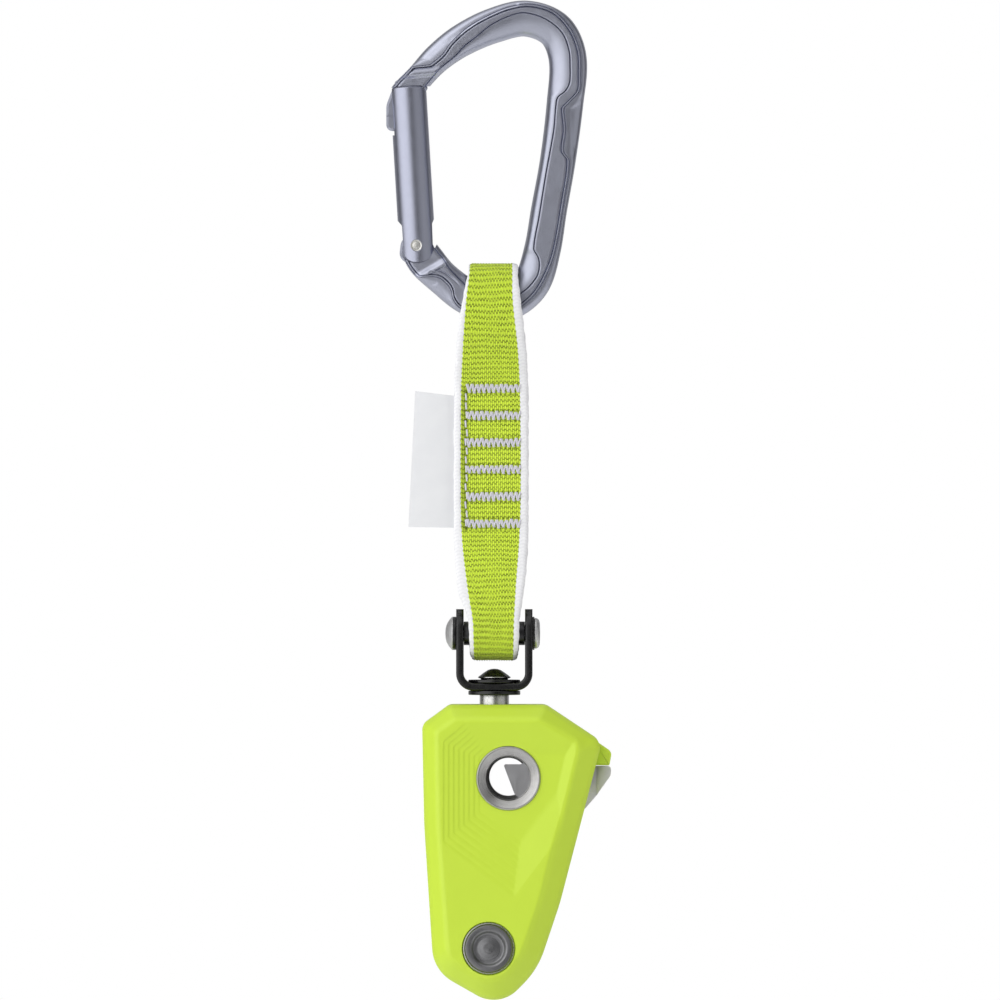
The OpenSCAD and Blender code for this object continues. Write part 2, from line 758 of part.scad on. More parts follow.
// Countersunk screw, head outwards, with a hexagon socket
module screw(tip) {
    top = housing_half - 0.2;
    difference() {
        turned_y([0, 0, 0], [
            [0, tip], [screw_r, tip], [screw_r, housing_half - 3.2], [screw_head_r, housing_half - 3.2],
            [screw_head_r, top - 1.2], [screw_head_r - 0.3, top - 1], [0, top - 1]]);
        translate([0, top + 1, 0]) rotate([90, 0, 0]) cylinder(h = 3.2, r = 1.3, $fn = 6);
    }
}

module rear_screws() {
    color("dimgray") at_screws() screw(shell_y - plate_t + 0.1);
}

module front_screws() {
    color("dimgray") to_front() at_screws()
        turned_y([0, 0, 0], [[0, plate_y + 0.4], [screw_r, plate_y + 0.4],
                             [screw_r, housing_half - 3.2], [0, housing_half - 3.2]]);
}

// ----------------------------------------------------------------- latch

module latch_pin() {
    color("silver") rod_y(lever_pin, lever_pin_r, -15.4, -plate_y - 0.4);
}

module latch_lever() {
    arm_z = catch_at[2] + catch_r + 0.5;  // underside of the arm over the catch pin
    color("silver") difference() {
        across(-lever_y - lever_t / 2, -lever_y + lever_t / 2) polygon(rounded([
            [-7.3, -218.1, 0.5], [-4, -226.9, 1], [2, -232.6, 3], [lever_pin[0] + 3.4, -234, 3.4],
            [lever_pin[0] + 3.6, -226, 3], [4.6, -216, 4], [0.6, arm_z + 3.7, 3],
            [-26.2, arm_z + 3.7, 1], [-26.2, catch_at[2] + catch_r - 0.05, 0.4],
            [-24.5, catch_at[2] + catch_r - 0.05, 0.4], [-24.5, arm_z, 0.4],
            [-4.6, arm_z, 2], [0.4, -218.1, 1]]));
        rod_y(lever_pin, lever_pin_r + fit, -far, far);
    }
}

module latch_spring() {
    turns = 5;
    top = body_top - 3.6;
    low = catch_at[2] + catch_r + 4.35;
    rise = (top - low) / turns;
    color("dimgray") for (i = [0:turns - 1])
        translate([-15, -lever_y, low + (i + 0.5) * rise])
            rotate_extrude() translate([1.4, 0]) square([0.5, rise + 0.01], center = true);
}

carabiner_frame();
gate_rivet();
gate();
gate_spring();
gate_plunger();
sling_webbing();
bar_tacks();
edge_stitch();
sling_tab();
thimble();
shackle();
shackle_pin();
pin_sleeve();
pin_washer_left();
pin_washer_right();
swivel_bolt();
swivel_washer_upper();
swivel_washer_lower();
swivel_nut();
channel_block();
rear_plate();
rear_shell();
rear_jaw();
rear_eyelet();
bottom_rivet();
rope_sleeve();
rivet_washer();
catch_pin();
rear_screws();
front_shell();
front_plate();
front_jaw();
front_eyelet();
front_screws();
latch_pin();
latch_spring();
latch_lever();
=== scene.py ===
"""Looks of the hanging rope brake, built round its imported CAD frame.

Lengths are millimetres until a mesh is made. +Z is up, the front faces -Y, and the sling,
shackle and swivel share the upright line through HANG.
"""

import math

import bpy
import numpy as np
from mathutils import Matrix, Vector


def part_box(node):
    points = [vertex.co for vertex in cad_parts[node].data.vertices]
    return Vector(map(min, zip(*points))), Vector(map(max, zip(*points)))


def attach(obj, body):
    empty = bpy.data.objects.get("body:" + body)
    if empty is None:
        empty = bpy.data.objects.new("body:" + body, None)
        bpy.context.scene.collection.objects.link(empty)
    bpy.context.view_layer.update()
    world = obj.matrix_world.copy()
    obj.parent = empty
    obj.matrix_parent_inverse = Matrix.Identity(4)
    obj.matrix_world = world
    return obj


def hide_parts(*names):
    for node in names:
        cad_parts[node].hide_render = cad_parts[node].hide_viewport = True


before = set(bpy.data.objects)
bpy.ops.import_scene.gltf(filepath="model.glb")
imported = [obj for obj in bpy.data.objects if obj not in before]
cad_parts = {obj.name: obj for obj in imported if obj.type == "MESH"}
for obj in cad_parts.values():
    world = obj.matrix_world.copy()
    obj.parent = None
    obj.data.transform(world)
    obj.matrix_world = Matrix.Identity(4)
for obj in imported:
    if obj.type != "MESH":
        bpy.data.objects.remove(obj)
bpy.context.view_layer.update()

MM = 0.001
TURN = 2 * math.pi
PHASE = 0.26  # share of a weave row by which every second warp yarn lags


def box(node):
    """Lowest and highest corner of a CAD node, in millimetres."""
    low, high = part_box(node)
    return np.array(low) / MM, np.array(high) / MM


def centre(node):
    low, high = box(node)
    return (low + high) / 2


# ------------------------------------------------------------------ places taken from the frame

HANG = centre("swivel_bolt")[0]
EYE = centre("rear_eyelet")
RIVET = centre("bottom_rivet")
PIN = centre("shackle_pin")
GATE_PIVOT = centre("gate_rivet")
HALF_DEPTH = box("rear_shell")[1][1]  # outer face of either shell
BODY_TOP = box("front_shell")[1][2]
BODY_LOW = BODY_TOP - 88  # lowest point of the housing
BAR_HALF = box("carabiner_frame")[1][1]


# ---------------------------------------------------------------------------- camera and stage


def make_camera():
    """Straight-on camera, far away, that takes in 300 mm about the object's middle."""
    distance, field = 5.0, 0.3
    middle_x, middle_z = -8.3 * MM, -139 * MM
    data = bpy.data.cameras.new("camera")
    data.sensor_width = 36
    data.lens = data.sensor_width * distance / field
    data.clip_end = 100
    camera = bpy.data.objects.new("camera", data)
    bpy.context.scene.collection.objects.link(camera)
    camera.location = Vector((middle_x, -distance, middle_z))
    camera.rotation_euler = (math.pi / 2, 0, 0)
    bpy.context.scene.camera = camera


def area_light(name, place, size, power):
    """A large soft light that faces the object's middle and isn't mirrored in the metal."""
    target = Vector((-0.01, 0, -0.14))
    data = bpy.data.lights.new(name, "AREA")
    data.shape = "RECTANGLE"
    data.size, data.size_y = size
    data.energy = power
    light = bpy.data.objects.new(name, data)
    bpy.context.scene.collection.objects.link(light)
    light.location = place
    light.rotation_euler = (target - Vector(place)).to_track_quat("-Z", "Y").to_euler()
    light.visible_glossy = False


def make_world():
    """White behind the object; in what it reflects, a dim studio with the softboxes."""
    world = bpy.data.worlds.new("studio")
    bpy.context.scene.world = world
    world.use_nodes = True
    tree = world.node_tree
    tree.nodes.clear()
    new, link = tree.nodes.new, tree.links.new
    direction = new("ShaderNodeTexCoord")
    total = None
    for way, edge, full, strength in SOFTBOXES:
        along = new("ShaderNodeVectorMath")
        along.operation = "DOT_PRODUCT"
        along.inputs[1].default_value = Vector(way).normalized()
        link(direction.outputs["Generated"], along.inputs[0])
        lobe = new("ShaderNodeMapRange")
        lobe.interpolation_type = "SMOOTHSTEP"
        lobe.inputs["From Min"].default_value = edge
        lobe.inputs["From Max"].default_value = full
        lobe.inputs["To Max"].default_value = strength
        link(along.outputs["Value"], lobe.inputs["Value"])
        if total is None:
            lobe.inputs["To Min"].default_value = DIMMEST
            total = lobe.outputs[0]
        else:
            plus = new("ShaderNodeMath")
            link(total, plus.inputs[0])
            link(lobe.outputs[0], plus.inputs[1])
            total = plus.outputs[0]
    studio = new("ShaderNodeBackground")
    studio.inputs["Color"].default_value = (1, 1, 1, 1)
    link(total, studio.inputs["Strength"])
    white = new("ShaderNodeBackground")
    white.inputs["Color"].default_value = (1, 1, 1, 1)
    white.inputs["Strength"].default_value = 1.0
    ray = new("ShaderNodeLightPath")
    mix = new("ShaderNodeMixShader")
    link(ray.outputs["Is Camera Ray"], mix.inputs[0])
    link(studio.outputs[0], mix.inputs[1])
    link(white.outputs[0], mix.inputs[2])
    link(mix.outputs[0], new("ShaderNodeOutputWorld").inputs["Surface"])


def make_stage():
    """Pale round floor, a metre below the point that the object hangs from."""
    radius, level, corners = 3.0, -1.0, 96
    angles = np.linspace(0, TURN, corners, endpoint=False)
    verts = [(radius * math.cos(a), radius * math.sin(a), level) for a in angles]
    mesh = bpy.data.meshes.new("floor")
    mesh.from_pydata(verts, [], [list(range(corners))])
    floor = bpy.data.objects.new("floor", mesh)
    bpy.context.scene.collection.objects.link(floor)
    mat = bpy.data.materials.new("floor")
    mat.use_nodes = True
    shader = mat.node_tree.nodes["Principled BSDF"]
    shader.inputs["Base Color"].default_value = (0.9, 0.9, 0.9, 1)
    shader.inputs["Roughness"].default_value = 0.9
    mesh.materials.append(mat)


DIMMEST = 0.07  # brightness of the studio between the softboxes
# Left, above, right, front and back: direction, cosine where it fades out, cosine where it is
# full, brightness
SOFTBOXES = [
    ((-0.76, -0.64, 0.15), 0.60, 0.92, 1.45),
    ((-0.15, -0.25, 0.95), 0.62, 0.95, 0.90),
    ((0.85, -0.50, 0.05), 0.72, 0.96, 0.42),
    ((0.10, -0.95, 0.25), 0.80, 0.98, 0.05),
    ((0.0, 1.0, 0.1), 0.35, 0.9, 0.40)]

make_camera()
make_world()
make_stage()
area_light("key", (-1.5, -0.75, 0.1), (0.8, 1.3), 8.5)
area_light("fill", (1.5, -0.7, 0.35), (0.7, 1.2), 8.5)
area_light("front", (0.0, -2.2, 0.9), (1.2, 0.8), 1)
area_light("back", (0.4, 2.2, 0.6), (1.2, 1.2), 9)
bpy.context.scene.view_settings.view_transform = "Standard"


# --------------------------------------------------------------------------------- materials


def srgb(r, g, b):
    """Linear colour from 0-255 display values."""
    def linear(c):
        c = c / 255
        return c / 12.92 if c <= 0.04045 else ((c + 0.055) / 1.055) ** 2.4
    return (linear(r), linear(g), linear(b), 1)


class Finish:
    """A Principled material, with short ways to drive its sockets by procedural patterns."""

    def __init__(self, name, colour, roughness, metallic=0.0, **sockets):
        self.mat = bpy.data.materials.new(name)
        self.mat.use_nodes = True
        self.tree = self.mat.node_tree
        self.shader = self.tree.nodes["Principled BSDF"]
        self.base = colour
        self.set("Base Color", colour)
        self.set("Roughness", roughness)
        self.set("Metallic", metallic)
        for socket, value in sockets.items():
            self.set(socket.replace("_", " "), value)

    def set(self, socket, value):
        self.shader.inputs[socket].default_value = value

    def node(self, kind, **inputs):
        made = self.tree.nodes.new(kind)
        for name, value in inputs.items():
            made.inputs[name.replace("_", " ")].default_value = value
        return made

    def link(self, source, target):
        self.tree.links.new(source, target)

    def maths(self, operation, a, b=None):
        """Arithmetic on sockets and numbers."""
        made = self.node("ShaderNodeMath")
        made.operation = operation
        for socket, value in zip(made.inputs, (a, b)):
            if isinstance(value, (int, float)):
                socket.default_value = value
            elif value is not None:
                self.link(value, socket)
        return made.outputs[0]

    def vector(self, operation, a, b=None):
        """Vector arithmetic on a socket and, if it takes two, a constant."""
        made = self.node("ShaderNodeVectorMath")
        made.operation = operation
        self.link(a, made.inputs[0])
        if b is not None:
            made.inputs[1].default_value = b
        return made.outputs["Value" if operation == "LENGTH" else "Vector"]

    def noise(self, size, detail=3.0, stretch=(1, 1, 1)):
        """Noise in stretched object coordinates, its features about size millimetres across."""
        coords = self.node("ShaderNodeTexCoord")
        mapping = self.node("ShaderNodeMapping", Scale=stretch)
        self.link(coords.outputs["Object"], mapping.inputs["Vector"])
        made = self.node("ShaderNodeTexNoise", Scale=1 / (size * MM), Detail=detail)
        self.link(mapping.outputs[0], made.inputs["Vector"])
        return made.outputs["Fac"]

    def off_line(self, about):
        """Each point's place from a point on a Y line."""
        coords = self.node("ShaderNodeTexCoord")
        return self.vector("SUBTRACT", coords.outputs["Object"], tuple(about * MM))

    def rings(self, about, size):
        """Noise that changes only with the distance from a Y line, like turning marks."""
        flat = self.vector("MULTIPLY", self.off_line(about), (1, 0, 1))
        made = self.node("ShaderNodeTexNoise", Scale=1 / (size * MM), Detail=2.0)
        made.noise_dimensions = "1D"
        self.link(self.vector("LENGTH", flat), made.inputs["W"])
        return made.outputs["Fac"]

    def attribute(self, name):
        made = self.node("ShaderNodeAttribute")
        made.attribute_name = name
        return made.outputs["Fac"]

    def spread(self, value, low, high, start=0.3, end=0.7):
        """Maps a pattern's range start..end to low..high."""
        made = self.node("ShaderNodeMapRange", From_Min=start, From_Max=end, To_Min=low, To_Max=high)
        self.link(value, made.inputs["Value"])
        return made.outputs[0]

    def tint(self, value, colour):
        """Mixes the colour so far towards another where value is 1."""
        mix = self.node("ShaderNodeMix")
        mix.data_type = "RGBA"
        socket = self.shader.inputs["Base Color"]
        if socket.is_linked:
            self.link(socket.links[0].from_socket, mix.inputs[6])
        else:
            mix.inputs[6].default_value = self.base
        mix.inputs[7].default_value = colour
        self.link(value, mix.inputs[0])
        self.link(mix.outputs[2], socket)

    def rough(self, value, low, high):
        self.link(self.spread(value, low, high), self.shader.inputs["Roughness"])

    def bump(self, value, depth):
        """Relief of about depth millimetres."""
        made = self.node("ShaderNodeBump", Strength=1.0, Distance=depth * MM)
        self.link(value, made.inputs["Height"])
        normal = self.shader.inputs["Normal"]
        if normal.is_linked:
            self.link(normal.links[0].from_socket, made.inputs["Normal"])
        self.link(made.outputs[0], normal)


def darker(colour, share):
    return tuple(c * share for c in colour[:3]) + (1,)


def forged_aluminium(name, colour, grain):
    """Tumbled and anodised forging: a fine grain, an uneven sheen and darker specks."""
    made = Finish(name, colour, 0.36, 1.0)
    made.rough(made.noise(1.6, 4), 0.33, 0.40)
    made.tint(made.spread(made.noise(0.22, 2), 0, 0.22), darker(colour, 0.80))
    made.bump(made.noise(0.22, 2), grain)
    return made.mat


def turned_steel(name, colour, about, roughness):
    """Lathe-turned steel: fine concentric marks about a Y line, and a sheen drawn out across them."""
    made = Finish(name, colour, roughness, 1.0, Anisotropic=0.75)
    tangent = made.vector("CROSS_PRODUCT", made.off_line(about), (0, 1, 0))
    turn = made.node("ShaderNodeVectorTransform")
    turn.convert_from, turn.convert_to, turn.vector_type = "OBJECT", "WORLD", "VECTOR"
    made.link(tangent, turn.inputs[0])
    made.link(turn.outputs[0], made.shader.inputs["Tangent"])
    marks = made.rings(about, 0.10)
    made.rough(marks, roughness - 0.07, roughness + 0.10)
    made.bump(marks, 0.012)
    made.tint(made.spread(made.noise(1.6, 4), 0, 0.4), darker(colour, 0.7))
    return made.mat


def plain_steel(name, colour, roughness, stretch=(1, 1, 1), metal=1.0):
    """Ground or stamped steel: a directional grain and a few dull patches."""
    made = Finish(name, colour, roughness, metal)
    made.rough(made.noise(0.5, 4, stretch), roughness - 0.06, roughness + 0.10)
    made.bump(made.noise(0.16, 3, stretch), 0.006)
    made.tint(made.spread(made.noise(3, 3), 0, 0.3), darker(colour, 0.75))
    return made.mat


def black_coat(name):
    """Glossy black coat on steel, with a faint orange-peel surface."""
    made = Finish(name, srgb(9, 9, 10), 0.22, 0.0, Specular_IOR_Level=0.6)
    made.rough(made.noise(1.4, 3), 0.20, 0.36)
    made.bump(made.noise(0.5, 2), 0.010)
    made.tint(made.spread(made.noise(0.7, 4), 0, 0.25), srgb(30, 30, 32))
    return made.mat


def moulded_shell(name):
    """Lime shell with a satin surface and very slight mottling."""
    made = Finish(name, srgb(199, 226, 66), 0.40, 0.0, Specular_IOR_Level=0.45)
    made.rough(made.noise(0.35, 3), 0.36, 0.46)
    made.bump(made.noise(0.10, 2), 0.006)
    made.tint(made.spread(made.noise(9, 2), 0, 0.12), srgb(186, 214, 58))
    return made.mat


def woven(name, colour, shade_colour):
    """Yarn surface: painted shade where the weave or a stitch dips, with fine fibres along the strap."""
    made = Finish(name, colour, 0.8, 0.0, Sheen_Weight=0.15, Sheen_Roughness=0.5,
                  Specular_IOR_Level=0.2)
    fibres = made.noise(0.16, 2, (1, 1, 0.22))
    made.rough(made.noise(0.4, 2), 0.70, 0.90)
    made.tint(made.spread(fibres, 0, 0.20), darker(colour, 0.72))
    made.tint(made.spread(made.noise(5, 2), 0, 0.16), darker(colour, 0.8))
    # painted shade: mixes in the shade colour by the per-point shade value, in the weave's dips, stitch
    # holes and on the inner face
    made.tint(made.attribute("painted_shade"), shade_colour)
    made.bump(fibres, 0.04)
    return made


def warp_floats(name, colour, shade_colour):
    """Lime warp yarns: each is rounded and dives between rows; painted shade darkens the holes at the
    rows' seams and the gaps between yarns.

    The attributes "yarn" and "row" count yarns across the strap and rows along it.
    """
    made = woven(name, colour, shade_colour)
    maths = made.maths
    yarn, row = made.attribute("yarn"), made.attribute("row")
    number = maths("FLOOR", yarn)
    own = made.node("ShaderNodeTexWhiteNoise")
    own.noise_dimensions = "1D"
    made.link(number, own.inputs["W"])
    drift = maths("MULTIPLY", maths("SUBTRACT", own.outputs["Value"], 0.5), 0.16)
    late = maths("MULTIPLY", maths("MODULO", number, 2.0), PHASE)
    beat = maths("ADD", maths("ADD", row, late), drift)

    def from_middle(value):
        """0 in the middle of each yarn or row, 1 at its edges."""
        share = maths("FRACT", value)
        return maths("ABSOLUTE", maths("SUBTRACT", maths("MULTIPLY", share, 2.0), 1.0))

    across = from_middle(yarn)
    seam = maths("POWER", from_middle(beat), 2.6)
    gap = maths("POWER", across, 1.8)
    gap_shade = maths("ADD", maths("MULTIPLY", seam, 0.9), maths("MULTIPLY", gap, 0.72))
    uneven = made.spread(made.noise(2.6, 2), 0.7, 1.3)
    # painted shade in the holes at the rows' seams and in the gaps between yarns
    made.tint(maths("MULTIPLY", made.spread(gap_shade, 0, 0.9, 0.36, 1.12), uneven), shade_colour)
    # single floats that are a little darker
    pair = made.node("ShaderNodeCombineXYZ")
    made.link(number, pair.inputs[0])
    made.link(maths("FLOOR", beat), pair.inputs[1])
    streak = made.node("ShaderNodeTexWhiteNoise")
    streak.noise_dimensions = "2D"
    made.link(pair.outputs[0], streak.inputs["Vector"])
    made.tint(made.spread(streak.outputs["Value"], 0, 0.20, 0, 1), darker(colour, 0.62))
    rounding = maths("MULTIPLY", maths("MULTIPLY", across, across), 0.55)
    made.bump(maths("SUBTRACT", 1.0, maths("ADD", maths("MULTIPLY", seam, 0.6), rounding)), 0.22)
    return made.mat


def coated_tape(name):
    """Smooth coated tape with a fine tight weave."""
    made = Finish(name, srgb(232, 233, 235), 0.6, 0.0, Sheen_Weight=0.05)
    cross = made.noise(0.18, 1, (1, 1, 0.3))
    made.rough(made.noise(0.6, 2), 0.52, 0.68)
    made.bump(cross, 0.012)
    made.tint(made.spread(made.noise(5, 2), 0, 0.5), srgb(226, 227, 230))
    return made.mat


def satin_plastic(name, colour):
    made = Finish(name, colour, 0.5)
    made.rough(made.noise(0.6, 3), 0.42, 0.58)
    made.bump(made.noise(0.2, 2), 0.01)
    made.tint(made.spread(made.noise(4, 2), 0, 0.3), darker(colour, 0.7))
    return made.mat


BAR = forged_aluminium("bar", srgb(186, 189, 204), 0.014)
GATE = forged_aluminium("gate", srgb(180, 183, 200), 0.008)
EYELET = turned_steel("eyelet", srgb(196, 195, 194), EYE, 0.30)
RIVET_STEEL = turned_steel("rivet", srgb(138, 138, 140), RIVET, 0.34)
BRIGHT = plain_steel("bright_steel", srgb(222, 221, 220), 0.26)
SATIN = plain_steel("satin_silver", srgb(222, 222, 222), 0.50)
RIVET_PALE = plain_steel("pale_rivet", srgb(232, 231, 226), 0.42)
SHEET_STEEL = plain_steel("sheet_steel", srgb(196, 196, 198), 0.34, (1, 1, 0.15))
DARK = plain_steel("dark_steel", srgb(84, 84, 86), 0.36)
SPRING = plain_steel("spring_steel", srgb(150, 150, 154), 0.3)
JAW_STEEL = plain_steel("jaw_steel", srgb(212, 207, 224), 0.5, (1, 1, 0.2), 0.0)
BLACK = black_coat("black_steel")
SHELL = moulded_shell("shell")
# The second colour of each yarn is its painted shade colour, for dips, holes, stitch dimples and the inner
# face
LIME_YARN = warp_floats("lime_yarn", srgb(222, 248, 74), srgb(60, 70, 12))
WHITE_YARN = woven("white_yarn", srgb(245, 245, 247), srgb(188, 188, 196)).mat
TACK_YARN = woven("tack_thread", srgb(226, 224, 234), srgb(50, 47, 56)).mat
TAB = coated_tape("tab")
GREY_PLASTIC = satin_plastic("grey_plastic", srgb(120, 121, 124))
BLOCK = plain_steel("block_aluminium", srgb(150, 151, 154), 0.45)


# ---------------------------------------------------------------------------- curves in the plane


def smooth(points, steps):
    """Curve through rows of values, whose first two are the place. Steps per stretch."""
    p = np.array(points, float)
    p = np.vstack([2 * p[0] - p[1], p, 2 * p[-1] - p[-2]])
    out = []
    for a, b, c, d in zip(p[:-3], p[1:-2], p[2:-1], p[3:]):
        span = np.linalg.norm((c - b)[:2])
        m = (c - a) * span / (span + np.linalg.norm((b - a)[:2]))
        n = (d - b) * span / (span + np.linalg.norm((d - c)[:2]))
        for t in np.arange(steps) / steps:
            out.append(b * (2 * t**3 - 3 * t**2 + 1) + m * (t**3 - 2 * t**2 + t)
                       + c * (3 * t**2 - 2 * t**3) + n * (t**3 - t**2))
    return np.array(out + [p[-2]])


def lengths(p):
    """Distance along a line of points, from its start to each."""
    return np.concatenate([[0], np.cumsum(np.linalg.norm(np.diff(p[:, :2], axis=0), axis=1))])


def respaced(p, count):
    """The same line with count equally spaced points."""
    at = lengths(p)
    new = np.linspace(0, at[-1], count)
    return np.column_stack([np.interp(new, at, p[:, i]) for i in range(p.shape[1])])


def directions(p, closed=False):
    """Unit tangent at each point of a line."""
    if closed:
        d = np.roll(p, -1, 0) - np.roll(p, 1, 0)
    else:
        d = np.gradient(p, axis=0)
    return d[:, :2] / np.linalg.norm(d[:, :2], axis=1)[:, None]


def normals(p, closed=False):
    """Unit vectors to the left of a line of points."""
    d = directions(p, closed)
    return np.column_stack([-d[:, 1], d[:, 0]])


def rounded(corners, steps=14):
    """Outline whose corners [x, z, r] are arcs."""
    n, out = len(corners), []
    for i in range(n):
        a, b, c = (np.array(corners[k % n][:2], float) for k in (i - 1, i, i + 1))
        r = corners[i][2]
        u = (a - b) / np.linalg.norm(a - b)
        v = (c - b) / np.linalg.norm(c - b)
        half = math.acos(np.clip(u @ v, -1, 1)) / 2
        middle = b + (u + v) / np.linalg.norm(u + v) * r / math.sin(half)
        start = b + u * r / math.tan(half) - middle
        end = b + v * r / math.tan(half) - middle
        first = math.atan2(start[1], start[0])
        sweep = (math.atan2(end[1], end[0]) - first + math.pi) % TURN - math.pi
        for k in range(steps + 1):
            angle = first + sweep * k / steps
            out.append(middle + r * np.array([math.cos(angle), math.sin(angle)]))
    return np.array(out)


def to_line(points, line, closed=False):
    """Distance from each point to a line of points."""
    a = np.array(line, float)
    b = np.roll(a, -1, 0)
    if not closed:
        a, b = a[:-1], b[:-1]
    best = np.full(len(points), 1e9)
    for p, q in zip(a, b):
        d = q - p
        t = np.clip(((points - p) @ d) / max(d @ d, 1e-12), 0, 1)
        best = np.minimum(best, np.linalg.norm(points - p - t[:, None] * d, axis=1))
    return best


def inside(points, outline):
    """Which points lie inside a closed outline."""
    a = np.array(outline, float)
    b = np.roll(a, -1, 0)
    crossings = np.zeros(len(points), int)
    for (ax, az), (bx, bz) in zip(a, b):
        if az == bz:
            continue
        level = (points[:, 1] >= min(az, bz)) & (points[:, 1] < max(az, bz))
        x = ax + (points[:, 1] - az) / (bz - az) * (bx - ax)
        crossings += level & (points[:, 0] < x)
    return crossings % 2 == 1


def depth_in(points, outline):
    """Signed distance to an outline: positive inside it."""
    d = to_line(points, outline, closed=True)
    return np.where(inside(points, outline), d, -d)


def ease(value, low, high):
    """0 below low, 1 above high, smooth between."""
    t = np.clip((value - low) / (high - low), 0, 1)
    return t * t * (3 - 2 * t)


def softer(a, b, radius):
    """The lesser of two heights, with the crease between them rounded."""
    h = np.clip(0.5 + 0.5 * (b - a) / radius, 0, 1)
    return b * (1 - h) + a * h - radius * h * (1 - h)


# --------------------------------------------------------------------------------- mesh making


def outward(verts, faces):
    """The faces of a closed solid, turned so that their normals point out of it."""
    v, volume = np.asarray(verts, float), 0.0
    for n in {len(f) for f in faces}:
        f = np.array([g for g in faces if len(g) == n])
        for i in range(1, n - 1):
            volume += np.sum(v[f[:, 0]] * np.cross(v[f[:, i]], v[f[:, i + 1]]))
    return faces if volume > 0 else [g[::-1] for g in faces]


def piece(name, verts, faces, mats, body, replaces=(), slot=None, sharp=40, painted_shades=None, groups=None):
    """A closed mesh from millimetre points that rides on a body and stands for CAD nodes."""
    mesh = bpy.data.meshes.new(name)
    mesh.from_pydata([tuple(v) for v in np.asarray(verts, float) * MM], [], outward(verts, faces))
    for mat in mats if isinstance(mats, (list, tuple)) else [mats]:
        mesh.materials.append(mat)
    if groups is not None:
        mesh.polygons.foreach_set("material_index", np.asarray(groups, np.int32))
    if painted_shades is not None:
        mesh.attributes.new("painted_shade", "FLOAT", "POINT").data.foreach_set(
            "value", np.asarray(painted_shades, np.float32))
    mesh.validate()
    mesh.shade_smooth()
    mesh.set_sharp_from_angle(angle=math.radians(sharp))
    made = bpy.data.objects.new(name, mesh)
    bpy.context.scene.collection.objects.link(made)
    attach(made, body)
    if replaces:
        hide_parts(*replaces)
    return made


def grid_faces(rows, columns, wrap_rows=False, wrap_columns=False, first=0):
    """Quads over a grid of points stored row by row."""
    r = np.arange(rows if wrap_rows else rows - 1)
    c = np.arange(columns if wrap_columns else columns - 1)
    rr, cc = np.meshgrid(r, c, indexing="ij")
    r2, c2 = (rr + 1) % rows, (cc + 1) % columns
    quads = np.stack([rr * columns + cc, rr * columns + c2, r2 * columns + c2, r2 * columns + cc], -1)
    return (quads.reshape(-1, 4) + first).tolist()


def caps(rows, columns):
    """The faces that close both ends of a grid of points wrapped across."""
    return [list(range(columns))[::-1], list(range((rows - 1) * columns, rows * columns))]


def lathe(profile, about, axis, steps=96, bevel=0.15):
    """Solid of revolution about an axis through a point; profile is [radius, height]."""
    line = []
    p = np.array(profile, float)
    for i, q in enumerate(p):
        before = p[i - 1] if i else None
        after = p[i + 1] if i + 1 < len(p) else None
        if before is None or after is None or q[0] < 1e-6:
            line.append(q)
            continue
        r = min(bevel, np.linalg.norm(q - before) / 2.5, np.linalg.norm(after - q) / 2.5)
        a = q + (before - q) / np.linalg.norm(before - q) * r
        c = q + (after - q) / np.linalg.norm(after - q) * r
        line += [a * (1 - t) ** 2 + q * 2 * t * (1 - t) + c * t * t for t in (0, 0.33, 0.67, 1)]
    line = np.array(line)
    angles = np.linspace(0, TURN, steps, endpoint=False)
    radius, height = line[:, :1], np.repeat(line[:, 1:], steps, 1)
    one, two = radius * np.cos(angles), radius * np.sin(angles)
    order = {"x": (height, one, two), "y": (two, height, one), "z": (one, two, height)}[axis]
    verts = np.stack(order, -1).reshape(-1, 3) + np.array(about)
    closed = abs(line[0] - line[-1]).max() < 1e-6
    if closed:
        verts = verts[:-steps]
    rows = len(verts) // steps
    faces = grid_faces(rows, steps, wrap_rows=closed, wrap_columns=True)
    if not closed:
        faces += caps(rows, steps)
    return verts, faces


def ring_piece(name, node, axis, about, bore, outer, steps, bevel, mat, body, slot):
    """A washer or sleeve between the two ends of its CAD node."""
    low, high = (end["xyz".index(axis)] for end in box(node))
    profile = [[bore, low], [outer, low], [outer, high], [bore, high], [bore, low]]
    turned = lathe(profile, about, axis, steps, bevel)
    piece(name, *turned, mat, body, [node], slot)


def tube(path, radius):
    """Round thread along a path of 3-D points."""
    sides = 8
    p = np.array(path, float)
    d = np.gradient(p, axis=0)
    d /= np.linalg.norm(d, axis=1)[:, None]
    side = np.cross(d[0], (0, 1, 0) if abs(d[0][1]) < 0.9 else (1, 0, 0))
    angles = np.linspace(0, TURN, sides, endpoint=False)
    rings = []
    for q, t in zip(p, d):
        side = side - t * (side @ t)
        side /= np.linalg.norm(side)
        up = np.cross(t, side)
        rings.append(q + radius * (np.cos(angles)[:, None] * side + np.sin(angles)[:, None] * up))
    return np.vstack(rings), grid_faces(len(p), sides, wrap_columns=True) + caps(len(p), sides)


def joined(parts):
    """Several (points, faces) as one."""
    verts, faces, count = [], [], 0
    for v, f in parts:
        verts.append(np.asarray(v))
        faces += [[i + count for i in face] for face in f]
        count += len(v)
    return np.vstack(verts), faces


def prism(outline, y0, y1, edge=0.0):
    """Solid across the frame between two depths, with its rims taken off by edge."""
    p = np.array(outline, float)
    if np.sum(p[:, 0] * np.roll(p[:, 1], -1) - p[:, 1] * np.roll(p[:, 0], -1)) < 0:
        p = p[::-1]
    inward = normals(p, closed=True)
    levels = [(y0, edge), (y0 + edge, 0), (y1 - edge, 0), (y1, edge)] if edge else [(y0, 0), (y1, 0)]
    rings = []
    for y, inset in levels:
        q = p + inward * inset
        rings.append(np.column_stack([q[:, 0], np.full(len(q), y), q[:, 1]]))
    faces = grid_faces(len(rings), len(p), wrap_columns=True) + caps(len(rings), len(p))
    return np.vstack(rings), faces


